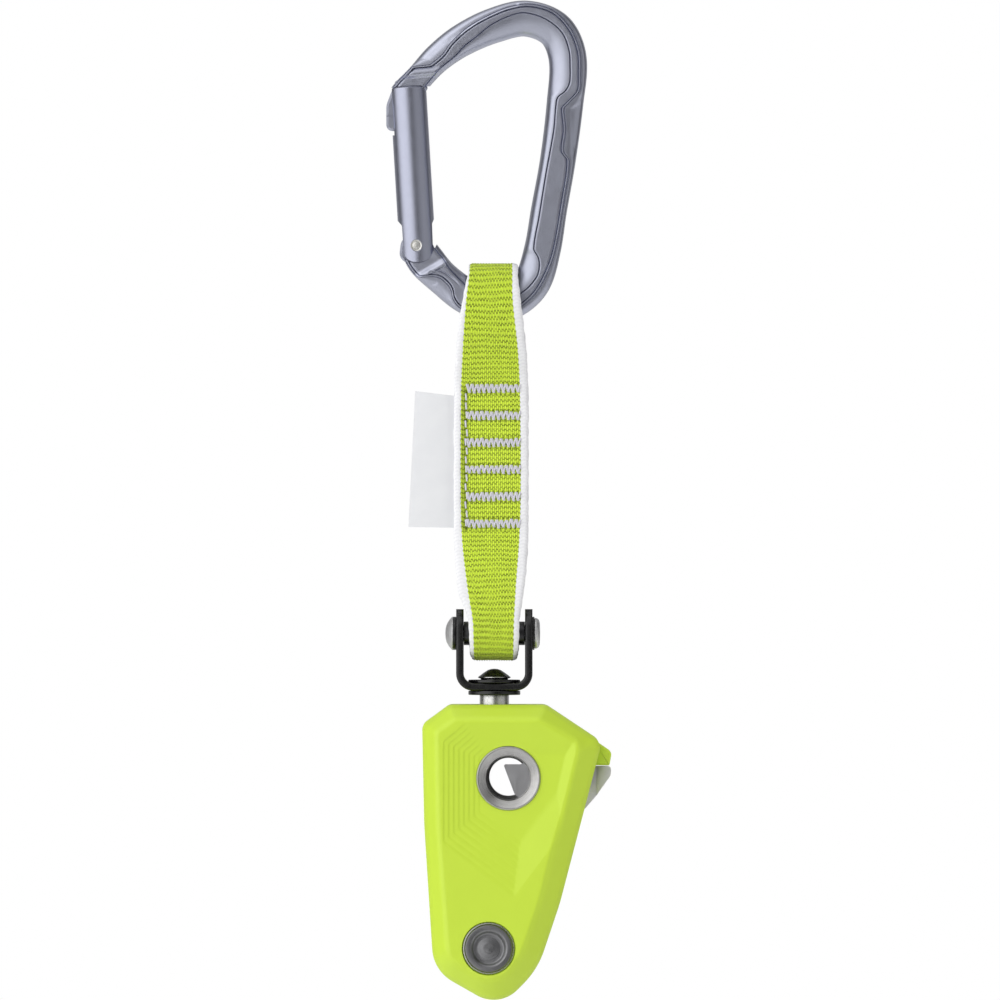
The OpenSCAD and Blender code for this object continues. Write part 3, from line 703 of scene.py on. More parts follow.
def boolean(target, verts, faces, operation="DIFFERENCE"):
    """Cuts, adds or keeps what a closed solid covers."""
    mesh = bpy.data.meshes.new("cutter")
    mesh.from_pydata([tuple(v) for v in np.asarray(verts, float) * MM], [], outward(verts, faces))
    tool = bpy.data.objects.new("cutter", mesh)
    bpy.context.scene.collection.objects.link(tool)
    change = target.modifiers.new("cut", "BOOLEAN")
    change.operation, change.object, change.solver = operation, tool, "MANIFOLD"
    apply_modifiers(target)
    bpy.data.objects.remove(tool)
    bpy.data.meshes.remove(mesh)


def drill(target, radius, start, end, about, axis, steps=64):
    """Cuts a round hole between two places along an axis."""
    profile = [[0, start], [radius, start], [radius, end], [0, end]]
    boolean(target, *lathe(profile, about, axis, steps, 0))


def apply_modifiers(target):
    """Makes a piece's modifiers part of its mesh."""
    graph = bpy.context.evaluated_depsgraph_get()
    mesh = bpy.data.meshes.new_from_object(target.evaluated_get(graph), depsgraph=graph)
    target.modifiers.clear()
    target.data = mesh


def reshade(target, sharp=40):
    target.data.shade_smooth()
    target.data.set_sharp_from_angle(angle=math.radians(sharp))


def finish_node(node, mat, bevel=0.0):
    """Gives a CAD node that stays visible its material and slightly worn edges."""
    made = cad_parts[node]
    made.data.materials.clear()
    made.data.materials.append(mat)
    if bevel:
        weld = made.modifiers.new("weld", "WELD")
        weld.merge_threshold = 0.002 * MM
        rim = made.modifiers.new("rim", "BEVEL")
        rim.width, rim.segments, rim.limit_method = bevel * MM, 2, "ANGLE"
        rim.angle_limit = math.radians(35)
        rim.use_clamp_overlap = True


# ------------------------------------------------------------------------- carabiner: the bar

# Middle line of the forged bar, from the nose to the hinge: [x, z, width]
BAR_LINE = [
    [-38.3, -19.3, 9], [-35.6, -16, 9], [-32.4, -12.2, 8.2], [-27, -6.4, 8.8],
    [-19.6, -1, 9.8], [-10, 3.4, 10.6], [-0.4, 5.4, 10.8], [8.3, 1.9, 11.2],
    [12, -6.6, 11.4], [11.2, -20, 11], [9, -37.4, 10.7], [6.4, -52, 10.8],
    [4.4, -64, 11], [1.3, -73.6, 11.2], [-4.4, -79, 11], [-10.5, -80, 11],
    [-18, -78, 10.8], [-25.4, -72.5, 10.3], [-30.5, -67.2, 11.2], [-33.6, -62.3, 10.4]]
# Line where the bar's round inner side meets its sunk web
INNER_LINE = [
    [-33.5, -18.2], [-31.6, -16.1], [-29.7, -13.9], [-27.6, -11.4], [-26.3, -9.9], [-21.5, -6.0],
    [-18.8, -3.1], [-15.6, -0.6], [-10.6, 3.4], [-4.3, 6.3], [-0.5, 6.8], [5.2, 5],
    [10, 1.1], [12.1, -4], [12.5, -9], [12.3, -13.9], [11, -16.4], [8.8, -18.2], [8.2, -21], [7.6, -28],
    [5.3, -40.9], [3.2, -54], [1.6, -63.6], [2.9, -66.2], [3.3, -68.6], [2.5, -72], [-1, -76],
    [-6, -78.6], [-12, -78.4], [-17, -75.8], [-20.3, -72.6], [-23.2, -69.6], [-25.3, -66.4]]
# Line where the web meets the raised outer rim; it ends in a step across the bar at both arms
RIM_LINE = [
    [-37.5, -9.9], [-35.2, -9.5], [-29.2, -8.9], [-28.2, -8.4], [-25.1, -5.7], [-22.6, -2.2], [-17.6, 2.3],
    [-11.9, 5.6], [-5.6, 8.2], [0.7, 9.1], [7.6, 7.1], [12.7, 1.7], [15.2, -5], [15.4, -11], [15.1, -16.2],
    [12.5, -19.3], [10.5, -21.4], [10.4, -22.4], [10.9, -28], [10.3, -34.4], [12, -37.4], [10.3, -49.9],
    [7.8, -64], [5.2, -71.3], [1.5, -77.3], [-4.2, -81.6], [-10.5, -82.8], [-16.5, -82.6], [-20.4, -80.7],
    [-22.1, -78.3], [-22.5, -76.2], [-23.5, -74.3], [-26.5, -71.9], [-31.5, -71.8], [-34.5, -71.9]]
# Second line, inside the first, on the lower arm
LOWER_LINE = [[-28.9, -70.5], [-26.3, -70.2], [-20.8, -74.2], [-19.9, -76.6], [-19.7, -79]]
# Shallow pockets in the outer rim
POCKETS = [
    [[-34.5, -7.2], [-29.8, -6.8], [-25, -2.4], [-20.6, 0.7], [-14.3, 4.9], [-8, 7.9], [-3, 9.4],
     [-3, 16], [-38, 16]],
    [[15.9, -19.8], [13.1, -21.8], [12.7, -23.4], [13.5, -33], [14.1, -34.2], [15, -29]]]
# Points and directions of the slopes where each arm thins towards the gate
NOSE_NECK = [-33.9, -12.7], (-0.1, 0.995)
HINGE_NECK = [-28.2, -68.1], (0.51, -0.86)
WEB_DEPTH = 0.62
NECK_DEPTH = 0.85
BLADE_HALF = 2.2     # half thickness of the nose blade and the hinge tongue
ROUND_COLUMNS = 14   # columns of points on the bar's inner round, and on its outer one
WEB_COLUMNS = 18     # columns across the web


def offsets_of(marks, line, out):
    """How far a drawn line stands off the bar's middle line, at each row of it."""
    marks = respaced(smooth(marks, 8), 500)
    near = np.array([np.argmin(np.linalg.norm(line[:, :2] - q, axis=1)) for q in marks])
    gap = marks - line[near, :2]
    row = near + np.einsum("ij,ij->i", gap, directions(line)[near]) / lengths(line)[1]
    order = np.argsort(row)
    return np.interp(np.arange(len(line)), row[order],
                     np.einsum("ij,ij->i", gap, out[near])[order])


def bar_relief(points, web):
    """How far the front face is sunk at [x, z] points; web tells how far each lies in the web."""
    nose = (points - NOSE_NECK[0]) @ np.array(NOSE_NECK[1])
    hinge = (points - HINGE_NECK[0]) @ np.array(HINGE_NECK[1])
    at_nose = ease(-points[:, 0], 20, 24) * (points[:, 1] > -40)
    at_hinge = ease(-points[:, 0], 20, 24) * (points[:, 1] < -40)
    share = 1 - at_nose * (1 - ease(nose, 1.5, 3.3)) - at_hinge * (1 - ease(hinge, 2.0, 2.4))
    sunk = WEB_DEPTH * web * share
    sunk += NECK_DEPTH * (at_nose * (1 - ease(nose, -0.1, 1.3))
                          + at_hinge * (1 - ease(hinge, -0.2, 1.7)))
    second = to_line(points, smooth(LOWER_LINE, 4))
    sunk += at_hinge * 0.34 * (1 - ease(second, 0.08, 0.42))
    for pocket in POCKETS:
        depth = depth_in(points, pocket)
        sunk += 0.20 * ease(depth, 0, 0.3) + 0.12 * (1 - ease(np.abs(depth), 0.05, 0.35))
    dash = to_line(points, np.array([[-28.9, -74.2], [-27.6, -74.1]]))
    return sunk + 0.16 * (1 - ease(dash, 0.15, 0.5))


def bar_plan(line, out):
    """Points of the bar's front face: rows along it, columns across it from the inner side.

    With them come, for each column, its share of the full depth, whether it lies in the web, and
    how far it is cut into the grooves beside the two drawn lines.
    """
    half_w = line[:, 2] / 2
    u_in = np.clip(offsets_of(INNER_LINE, line, out), 0.8 - half_w, 3)
    u_rim = np.clip(offsets_of(RIM_LINE, line, out), u_in + 1.4, half_w - 0.9)
    phi = np.linspace(0, math.pi / 2, ROUND_COLUMNS + 1)
    round_in, rise_in = 1 - np.cos(phi[:-1]), np.sin(phi[:-1]) ** 0.92
    round_out, fall_out = np.sin(phi[1:]) ** 0.72, np.cos(phi[1:]) ** 0.62
    wall = np.array([0, 0.2, 0.42, 0.75])
    bead = np.array([0.1, 0.38, 0.52, 0.66])
    t = np.linspace(0, 1, WEB_COLUMNS + 2)[1:-1]
    plan = []
    for c, n, h, ui, ur in zip(line, out, half_w, u_in, u_rim):
        lo, hi, rim = ui + wall, ur - wall[::-1], ur + bead
        u = np.concatenate([-h + (ui + h) * round_in, lo, lo[-1] + (hi[0] - lo[-1]) * t, hi, rim,
                            rim[-1] + (h - rim[-1]) * round_out])
        plan.append(c[:2] + n * u[:, None])
    rounds, middle = np.zeros(ROUND_COLUMNS), np.zeros(WEB_COLUMNS)
    web = np.concatenate([rounds, [0, 1, 1, 1], middle + 1, [1, 1, 1, 0], [0, 0, 0, 0], rounds])
    groove = np.concatenate([rounds, [0, 0.42, 0.08, 0], middle, [0, 0.08, 0.42, -0.04],
                             [-0.06, 0, 0.26, 0], rounds])
    depth = np.concatenate([rise_in, middle + 1, np.ones(3 * len(wall)), fall_out])
    return np.array(plan), depth, web, groove


def make_bar():
    line = respaced(smooth(BAR_LINE, 24), 700)
    out = normals(line)
    plan, depth, web, groove = bar_plan(line, out)
    columns = plan.shape[1]
    sunk = bar_relief(plan.reshape(-1, 2), np.tile(web, len(line))).reshape(-1, columns) + groove
    height = BAR_HALF * depth - sunk * ease(depth, 0.5, 0.95)
    # circles about the gate's rivet cut the two ends: each column runs from one to the other
    reach = np.linalg.norm(plan - GATE_PIVOT[[0, 2]], axis=2)
    top_r, low_r = GATE_H + 0.4, 5.3
    count = 690
    front = np.empty((count, columns, 3))
    step = np.arange(len(line))
    for j in range(columns):
        begin = np.argmax(reach[:, j] > top_r)
        first = begin - 1 + (top_r - reach[begin - 1, j]) / (reach[begin, j] - reach[begin - 1, j])
        tail = len(line) - 1 - np.argmax(reach[::-1, j] > low_r)
        last = tail
        if tail < len(line) - 1:
            last = tail + (reach[tail, j] - low_r) / (reach[tail, j] - reach[tail + 1, j])
        at = np.linspace(first, last, count)
        front[:, j, 0] = np.interp(at, step, plan[:, j, 0])
        front[:, j, 1] = -np.interp(at, step, height[:, j])
        front[:, j, 2] = np.interp(at, step, plan[:, j, 1])
    back = front[:, -2:0:-1] * (1, -1, 1)       # the two halves share their middle columns
    ring = np.concatenate([front, back], 1)
    wide = ring.shape[1]
    faces = grid_faces(count, wide, wrap_columns=True)
    # both ends are closed by quads between the front's columns and the back's
    for row, turned in ((0, False), (count - 1, True)):
        for j in range(columns - 1):
            a, b = row * wide + j, row * wide + j + 1
            c, e = (row * wide + (wide - k) % wide for k in (j + 1, j))
            quad = [q for i, q in enumerate((a, e, c, b)) if q not in (a, e, c, b)[:i]]
            if len(quad) > 2:
                faces.append(quad[::-1] if turned else quad)
    made = piece("bar", ring.reshape(-1, 3), faces, BAR, "carabiner", ["carabiner_frame"],
                 "forged_bar", 30)
    blade = rounded([[-39.6, -13.2, 1], [-42.4, -20.6, 5], [-42.4, -28.3, 1.8], [-37.6, -28.3, 2.4],
                     [-35.6, -21, 3], [-31.3, -17.3, 0.5], [-29.6, -15.2, 1], [-33.4, -12.4, 1]])
    tongue = rounded([[-37.9, -60.5, 3.6], [-32, -58.4, 2.6], [-28.6, -62.0, 1.2], [-27.4, -64.4, 1],
                      [-29, -70, 1.5], [-31, -71, 1], [-38.6, -66.5, 3]])
    # room for the gate's inner side when it is open
    open_gate = np.array([[0, 0], [4.81, -2.34], [11, 10.3], [0, 10.3]]) + GATE_PIVOT[[0, 2]]
    clear = 9       # well outside the bar's faces
    boolean(made, *prism(open_gate, -clear, clear))
    for outline in (blade, tongue):
        boolean(made, *prism(outline, -BLADE_HALF, BLADE_HALF, 0.7), operation="UNION")
    drill(made, 1.5, -clear, clear, GATE_PIVOT, "y", 48)
    # the notch behind the nose's hooked tip
    notch = rounded([[-44, -24.25, 0.1], [-39, -23.8, 0.1], [-39, -23.4, 0.1], [-44, -23.85, 0.1]], 3)
    for y in (-2.6, 1.6):
        boolean(made, *prism(notch, y, y + 1))
    reshade(made, 30)


# ------------------------------------------------------------------------- carabiner: the gate

GATE_LEAN = math.radians(3.4)
GATE_H = 47.6
GATE_R = 5.45
GATE_SHIFT = 0.3     # the tube's middle line stands this far inside its rivet


def leaning(verts):
    """Turns points built upright over the origin to the closed gate's place."""
    c, s = math.cos(GATE_LEAN), math.sin(GATE_LEAN)
    v = np.asarray(verts, float) + (GATE_SHIFT, 0, 0)
    return np.column_stack([v[:, 0] * c - v[:, 2] * s, v[:, 1], v[:, 0] * s + v[:, 2] * c]) + GATE_PIVOT


def cut_gate(made, outline, half, operation="DIFFERENCE"):
    verts, faces = prism(rounded(outline, 8), -half, half)
    boolean(made, leaning(verts), faces, operation)


def make_gate():
    """Tube pared to the bar's width at its rivet, slotted for the nose and the hinge tongue."""
    rod = [[0, -6], [GATE_R, -6], [GATE_R, GATE_H], [0, GATE_H]]
    verts, faces = lathe(rod, (0, 0, 0), "z", 160, 0.45)
    made = piece("gate_tube", leaning(verts), faces, GATE, "gate", ["gate"], "gate_tube", 32)
    wide, top = GATE_R + 0.2, GATE_H + 0.3
    outline = [[-4.2, -1, 3.2], [-4.2, -4.95, 3.6], [4.4, -4.95, 3.7], [4.65, 0, 3], [4.8, 6.4, 1.5],
               [wide, 8, 2], [wide, top, 3.0], [-GATE_R - 1, top, 0.6], [-GATE_R - 1, 8, 0.4],
               [-GATE_R, 7.8, 1], [-4.25, 6.2, 1]]
    cut_gate(made, outline, 9, "INTERSECT")
    slot = 2.45     # half width of the slots for the nose and the tongue
    cut_gate(made, [[-20, -20, 1], [20, -20, 1], [20, 5.2, 0.8], [-20, 5.2, 0.8]], slot)
    cut_gate(made, [[-20, 33.4, 0.5], [3.1, 33.4, 0.5], [3.1, 70, 0.8], [-20, 70, 0.8]], slot)
    mouth = [[0, -9], [1.9, -9], [1.9, -5.4], [1.55, -5.0], [1.55, 5.0], [1.9, 5.4], [1.9, 9], [0, 9]]
    boolean(made, *lathe(mouth, GATE_PIVOT, "y", 48, 0))
    reshade(made, 32)


def make_gate_rivet():
    """Rivet with a small domed head inside a raised ring on each side."""
    face = GATE_R - 0.06
    half = [[0, face + 0.05], [0.8, face - 0.02], [1.12, face - 0.25], [1.2, face - 0.42],
            [1.5, face - 0.30], [1.72, face - 0.22], [1.78, face - 0.4], [1.5, face - 0.62]]
    turned = lathe([[r, -y] for r, y in half] + half[::-1], GATE_PIVOT, "y", 64, 0.1)
    piece("gate_hinge_rivet", *turned, RIVET_PALE, "carabiner", ["gate_rivet"], "bright_steel")


make_bar()
make_gate()
make_gate_rivet()


# ------------------------------------------------------------------------------------- sling

# Middle of one webbing layer seen from the side: [y, z]
SLING_LINE = [
    [0, -68.9], [5.4, -70.4], [8.3, -74.6], [8.9, -80.5], [7.6, -88], [4.4, -96],
    [1.5, -103.5], [1.05, -109], [1.05, -146], [1.7, -153], [4.2, -162],
    [6.6, -171], [7.2, -178.5], [5.1, -184.1], [0, -186.2]]
# Across the strap, from its middle line: [z, left edge, lime from, lime to, right edge]
SLING_EDGES = [
    [-66, -7.3, -7.1, 5.4, 6.9], [-72, -8, -7.5, 5.4, 7.2], [-79, -9.6, -8.4, 5.5, 7.9],
    [-94.3, -11.4, -9.5, 7.1, 9.6], [-107.7, -12, -10, 7.7, 10.2], [-139, -12.1, -10.1, 7.9, 10.2],
    [-152, -12, -9.6, 7.4, 10.1], [-166, -10.8, -8, 6.4, 8.9], [-175, -7.9, -6.5, 5.9, 7.5],
    [-183, -7.4, -6.15, 5.7, 7.3], [-185.6, -7.1, -6.0, 5.6, 7.0], [-187.3, -6.1, -5.2, 4.9, 6.0]]
LAYER_HALF = 1.02    # half thickness of one layer
YARNS = 30           # warp yarns across the lime part
SELVEDGE_COLUMNS = 7
LIME_COLUMNS = 90
INNER_COLUMNS = 18
TACK_ROWS = 6
TACK_VEES = 11
TACK_LEFT, TACK_RIGHT = -8.3, 7.8   # ends of the bar tacks, from the middle line
STITCH_X = -8.5      # running stitch, from the middle line
STITCH_PITCH = 2.7
THREAD_R = 0.27


def sling_width(z):
    """Left edge, lime from, lime to and right edge at heights z, from the middle line."""
    table = smooth(SLING_EDGES, 6)
    table = table[np.argsort(table[:, 0])]
    return np.column_stack([np.interp(z, table[:, 0], table[:, k]) for k in range(1, 5)])


def tack_heights():
    """Middle height of each row of bar tacks."""
    low, high = box("bar_tacks")
    half = 1.2
    return np.linspace(high[2] - half, low[2] + half, TACK_ROWS)


def sling_loop():
    """Closed middle line of the strap, seen from the side, and its directions outwards."""
    half = respaced(smooth(SLING_LINE, 10), 400)
    loop = np.vstack([half[:-1], (half * (-1, 1))[::-1][:-1]])
    loop = respaced(np.vstack([loop, loop[:1]]), 781)[:-1]
    return loop, normals(loop, closed=True)


def weave_rows(run, z):
    """The row of the weave at each point of the loop: slack in the loops, tight where it is sewn."""
    pitch = 1.46 + 0.36 * ease(z, -104, -92) + 0.25 * ease(-z, 152, 165)
    row = np.concatenate([[0], np.cumsum(np.diff(run) / pitch[1:])])
    return row * (round(row[-1]) / row[-1])


def strap_edges(z, run, row):
    """The two edges and the two sides of the lime band at each point of the loop, rippled."""
    edges = sling_width(z)
    ripple = 0.13 * np.sin(run / 1.9) * np.sin(run / 7.3) + 0.06 * np.sin(run * 1.9)
    edges[:, 0] += ripple
    edges[:, 3] += np.roll(ripple, 37)
    edges[:, 1] += 0.10 * np.sin(row * TURN)
    edges[:, 2] -= 0.10 * np.sin(row * TURN + 1)
    return edges


def outer_columns(edges):
    """Across the outer face: each point's place, its band (lime is 1) and its share of the band."""
    places, bands, shares = [], [], []
    for k, columns in enumerate((SELVEDGE_COLUMNS, LIME_COLUMNS, SELVEDGE_COLUMNS)):
        t = np.linspace(0, 1, columns + 1)[:None if k == 2 else -1]
        places.append(edges[:, k:k + 1] + (edges[:, k + 1:k + 2] - edges[:, k:k + 1]) * t)
        bands += [k] * len(t)
        shares += list(t)
    return np.concatenate(places, 1), np.array(bands), np.array(shares)


def weave_relief(loop, run, row, lime, share, yarn, rows_at):
    """Height and painted shade of the weave: yarns and rows in the lime band, a plait beside it."""
    z = loop[:, 1]
    beat = (rows_at + PHASE * (np.floor(yarn * 0.999) % 2)[None, :]) % 1
    groove = np.abs(2 * beat - 1) ** 3
    side = np.abs(2 * ((yarn * 0.999) % 1) - 1) ** 2
    plait = (run[:, None] / 1.1 + 0.55 * np.abs(2 * share - 1)[None, :]) % 1
    plait = np.abs(2 * plait - 1)
    relief = np.where(lime, -0.26 * groove - 0.08 * side, -0.13 * plait ** 2)
    # painted shade in the plait's creases beside the lime band
    painted_shade = np.where(lime, 0.0, 0.30 * plait ** 3)
    # slow waves where the loops are loose
    loose = ease(np.abs(z + 126), 20, 32) * ease(np.abs(z + 126), 64, 44)
    relief += (0.10 * loose)[:, None] * np.sin(row * TURN / 2 + 0.5)[:, None] * lime
    return relief, painted_shade


def pull_in(loop, outer_x, lime, relief, painted_shade):
    """Sinks the webbing where the threads pull it in, and paints shade into the dimples and the furrow."""
    z = loop[:, 1]
    flat = np.abs(loop[:, 0]) < 1.6
    for level in tack_heights():
        near = np.exp(-((z - level) / 1.5) ** 2) * flat
        relief -= 0.17 * near[:, None] * lime
        # both ends of every vee
        for end in (-1, 1):
            pull = np.exp(-((z - level - end * 1.55) / 0.46) ** 2) * flat
            at = (outer_x - TACK_LEFT) / (TACK_RIGHT - TACK_LEFT) * TACK_VEES + (0 if end > 0 else 0.5)
            spots = np.exp(-(((at % 1) - 0.5) / 0.17) ** 2) * (outer_x > TACK_LEFT - 0.5)
            # painted shade in the dimples at both ends of every vee
            painted_shade += 1.0 * pull[:, None] * spots * lime
            relief -= 0.16 * pull[:, None] * spots * lime
    # the running stitch digs a furrow along the left, with painted shade in it, darkest at each stitch's
    # ends
    sewn = flat * ease(-z, 104, 106) * ease(z, -150, -147)
    furrow = np.exp(-((outer_x - STITCH_X) / 0.55) ** 2) * sewn[:, None]
    stitch_end_shade = np.abs(2 * (((z[:, None] + 104.3) / STITCH_PITCH) % 1) - 1) ** 4
    painted_shade += furrow * (0.35 + 0.65 * stitch_end_shade) * lime
    relief -= 0.20 * furrow * lime
    # the strip left of the stitch, where it is sewn, is darkened too, with the same shade colour
    painted_shade += 0.28 * sewn[:, None] * ease(-outer_x, 8.4, 9.2) * lime


def strap_face(loop, out, edges, x, side, relief):
    """Points of the outer (side 1) or inner (-1) face, which rounds off towards both edges."""
    shoulder = np.minimum(x - edges[:, :1], edges[:, 3:4] - x)
    fall = LAYER_HALF * 0.8 * (1 - np.sqrt(1 - (1 - np.clip(shoulder / 1.5, 0, 1)) ** 2))
    lift = side * (LAYER_HALF + relief - fall)[..., None]
    return np.concatenate([(HANG + x)[..., None], loop[:, None, :1] + out[:, None, :1] * lift,
                           loop[:, None, 1:] + out[:, None, 1:] * lift], -1)


def make_sling():
    """The strap as one closed loop of webbing, woven on its outer face and plain inside."""
    loop, out = sling_loop()
    run, z = lengths(loop), loop[:, 1]
    row = weave_rows(run, z)
    edges = strap_edges(z, run, row)
    outer_x, band, share = outer_columns(edges)
    lime = band == 1
    yarn = np.where(lime, share * YARNS, np.where(band == 0, 0.0, YARNS))
    # rows are never quite straight: they sag and wander across the strap
    sag = 0.12 * np.sin(outer_x * 0.30 + z[:, None] * 0.21)
    sag += 0.04 * np.sin(outer_x * 1.1 - z[:, None] * 0.5)
    rows_at = row[:, None] + sag * (0.35 + 0.65 * ease(np.abs(z + 126), 22, 30))[:, None]
    relief, painted_shade = weave_relief(loop, run, row, lime, share, yarn, rows_at)
    pull_in(loop, outer_x, lime, relief, painted_shade)
    outer = strap_face(loop, out, edges, outer_x, 1, relief)
    left, wide = edges[:, :1], edges[:, 3:4] - edges[:, :1]
    inner_x = left + wide * np.linspace(1, 0, INNER_COLUMNS)
    inner = strap_face(loop, out, edges, inner_x, -1, 0)
    ring = np.concatenate([outer, inner], 1)
    rows, columns = ring.shape[:2]
    faces = grid_faces(rows, columns, wrap_rows=True, wrap_columns=True)
    # lime on the outer face's middle band, and on the inner face but for its edges
    group = np.ones(columns, int)
    group[SELVEDGE_COLUMNS:SELVEDGE_COLUMNS + LIME_COLUMNS] = 0
    group[len(band) + 2:columns - 3] = 0
    # painted shade: 0.3 over the whole inner face, which faces the other layer
    painted_shades = np.concatenate([np.clip(painted_shade, 0, 1), np.full((rows, INNER_COLUMNS), 0.3)], 1).ravel()
    made = piece("webbing", ring.reshape(-1, 3), faces, [LIME_YARN, WHITE_YARN], "sling",
                 ["sling_webbing"], "webbing", 60, painted_shades, np.tile(group, rows))
    lime_from, lime_to = edges[:, 1:2], edges[:, 2:3]
    inner_yarn = np.clip((inner_x - lime_from) / (lime_to - lime_from), 0, 1) * YARNS
    for name, grid in (
            ("yarn", np.concatenate([np.tile(yarn, (rows, 1)), inner_yarn], 1)),
            ("row", np.concatenate([rows_at, np.tile(row[:, None], (1, INNER_COLUMNS))], 1))):
        made.data.attributes.new(name, "FLOAT", "POINT").data.foreach_set(
            "value", grid.ravel().astype(np.float32))


def surface_y(z):
    """Outer face of the front layer at heights z, as a distance from the mid-plane."""
    half = respaced(smooth(SLING_LINE, 10), 400)
    order = np.argsort(half[60:340, 1])
    return np.interp(z, half[60:340][order, 1], half[60:340][order, 0]) + LAYER_HALF


def tack_row(rng, face, z):
    """Threads of one zigzag row; every second one is doubled."""
    corners = np.linspace(TACK_LEFT, TACK_RIGHT, 2 * TACK_VEES + 1)
    heights = z + 1.16 * np.where(np.arange(len(corners)) % 2 == 0, 1, -1)
    heights = heights + rng.uniform(-0.2, 0.2, len(corners))
    corners = corners + rng.uniform(-0.1, 0.1, len(corners))
    t = np.linspace(0, 1, 7)
    threads = []
    for shift, step in ((0, 1), (0.36, 2)):
        for a in range(0, len(corners) - 1, step):
            x = corners[a] + (corners[a + 1] - corners[a]) * t + shift
            level = heights[a] + (heights[a + 1] - heights[a]) * t
            lift = 0.02 + 0.26 * np.sin(math.pi * t) ** 0.5 - 0.16 * (shift > 0)
            y = face * (surface_y(level) + lift - 0.14)
            threads.append(tube(np.column_stack([HANG + x, y, level]), THREAD_R))
    return threads


def edge_thread(face, z):
    """One stitch of the running seam, which starts at height z."""
    t = np.linspace(0, 1, 9)
    level = z - 1.95 * t
    x = STITCH_X + 0.22 * math.sin(z) + 0.16 * t
    y = face * (surface_y(level) + 0.12 * np.sin(math.pi * t) ** 0.5 - 0.10)
    return tube(np.column_stack([HANG + x, y, level]), THREAD_R)


def make_stitches():
    """Zigzag bar tacks and a running stitch, as threads on both faces."""
    rng = np.random.default_rng(4)
    tacks, run = [], []
    rows = tack_heights()
    for face in (-1, 1):
        for z in rows:
            tacks += tack_row(rng, face, z)
        places = np.arange(rows[0] - 1.5, rows[-1] - 0.4, -STITCH_PITCH)
        run += [edge_thread(face, z) for z in places]
    for name, parts, node in (("tack_threads", tacks, "bar_tacks"),
                              ("edge_threads", run, "edge_stitch")):
        verts, faces = joined(parts)
        # every thread is mixed evenly 0.12 towards its painted shade colour
        piece(name, verts, faces, TACK_YARN, "sling", [node], "thread", 60,
              np.full(len(verts), 0.12))


def make_tab():
    """The tape tab: a thin sheet, slightly bowed, that is sewn in behind the left edge."""
    low, high = box("sling_tab")
    right, left_top, left_low = high[0], low[0] + 2.05, low[0]
    rows, columns, half = 60, 34, 0.26
    grid = []
    for v in np.linspace(0, 1, rows):
        left = left_top + (left_low - left_top) * v
        z_left = high[2] + (low[2] + 0.3 - high[2]) * v
        z_right = high[2] - 1.8 + (low[2] - high[2] + 1.8) * v
        u = np.linspace(0, 1, columns)
        bow = 0.55 * np.sin(u * math.pi * 0.9) * (1 - u) + 0.25 * math.sin(v * math.pi) * (1 - u) ** 2
        grid.append(np.column_stack([left + (right - left) * u, -bow, z_left + (z_right - z_left) * u]))
    middle = np.array(grid)
    front = (middle - (0, half, 0)).reshape(-1, 3)
    back = (middle + (0, half, 0)).reshape(-1, 3)
    n = rows * columns
    faces = grid_faces(rows, columns) + [f[::-1] for f in grid_faces(rows, columns, first=n)]
    rim = (list(range(columns)) + [r * columns + columns - 1 for r in range(1, rows)]
           + list(range(n - 2, n - columns - 1, -1)) + [r * columns for r in range(rows - 2, 0, -1)])
    faces += [[b, a, a + n, b + n] for a, b in zip(rim, rim[1:] + rim[:1])]
    made = piece("tab", np.vstack([front, back]), faces, TAB, "sling", ["sling_tab"], "tab", 40)


def make_thimble():
    ring_piece("loop_thimble", "thimble", "x", centre("thimble") * (0, 1, 1), 3.62, 5.95, 72, 0.5,
               GREY_PLASTIC, "sling", "grey_plastic")


make_sling()
make_stitches()
make_tab()
make_thimble()


# --------------------------------------------------------------------------- shackle and swivel


def make_shackle():
    """Bent strap with rounded rims: a cross-section carried along the U."""
    low, high = box("shackle")
    strap, bend = 2.25, 4.0     # thickness, radius of the bends
    outer = (high[0] - low[0]) / 2
    path = rounded([[-outer + strap / 2, high[2], 0.01], [-outer + strap / 2, low[2] + strap / 2, bend],
                    [outer - strap / 2, low[2] + strap / 2, bend], [outer - strap / 2, high[2], 0.01]], 16)
    keep = (path[:, 1] < high[2] - 0.05) | (np.abs(np.abs(path[:, 0]) - outer + strap / 2) < 0.02)
    path = path[keep]
    path = respaced(np.vstack([[-outer + strap / 2, high[2]], path[path[:, 1] < high[2] - 0.3],
                               [outer - strap / 2, high[2]]]), 240)
    side = -normals(path)
    # half width front to back: round ears at the arms' ends, slightly wider at the base
    drop = high[2] - path[:, 1]
    ear, base_half = 6.4, 7.0
    round_end = np.sqrt(np.clip(ear**2 - np.clip(ear - drop, 0, ear) ** 2, 0.0, None))
    width = np.where(drop < ear, np.maximum(round_end, 2.2), ear + (base_half - ear) * ease(drop, 8, 22))
    corner, half = 0.55, strap / 2
    angles = np.linspace(0, math.pi / 2, 6)
    rings = []
    for p, n, w in zip(path, side, width):
        ring = []
        for sx, sy, first in ((1, 1, 0), (-1, 1, 1), (-1, -1, 2), (1, -1, 3)):
            for a in angles + first * math.pi / 2:
                ring.append((sx * (half - corner) + corner * math.cos(a),
                             sy * (w - corner) + corner * math.sin(a)))
        ring = np.array(ring)
        rings.append(np.column_stack([HANG + p[0] + n[0] * ring[:, 0], ring[:, 1],
                                      p[1] + n[1] * ring[:, 0]]))
    count, columns = len(rings), len(rings[0])
    faces = grid_faces(count, columns, wrap_columns=True) + caps(count, columns)
    made = piece("shackle_strap", np.vstack(rings), faces, BLACK, "shackle", ["shackle"],
                 "black_steel", 50)
    drill(made, 2.5, -20, 20, (HANG, 0, PIN[2]), "x")
    drill(made, 4.25, low[2] - 2, low[2] + 5, (HANG, 0, 0), "z")
    rim = made.modifiers.new("rim", "BEVEL")
    rim.width, rim.segments, rim.limit_method, rim.angle_limit = 0.12 * MM, 2, "ANGLE", math.radians(50)
    apply_modifiers(made)
    reshade(made, 50)


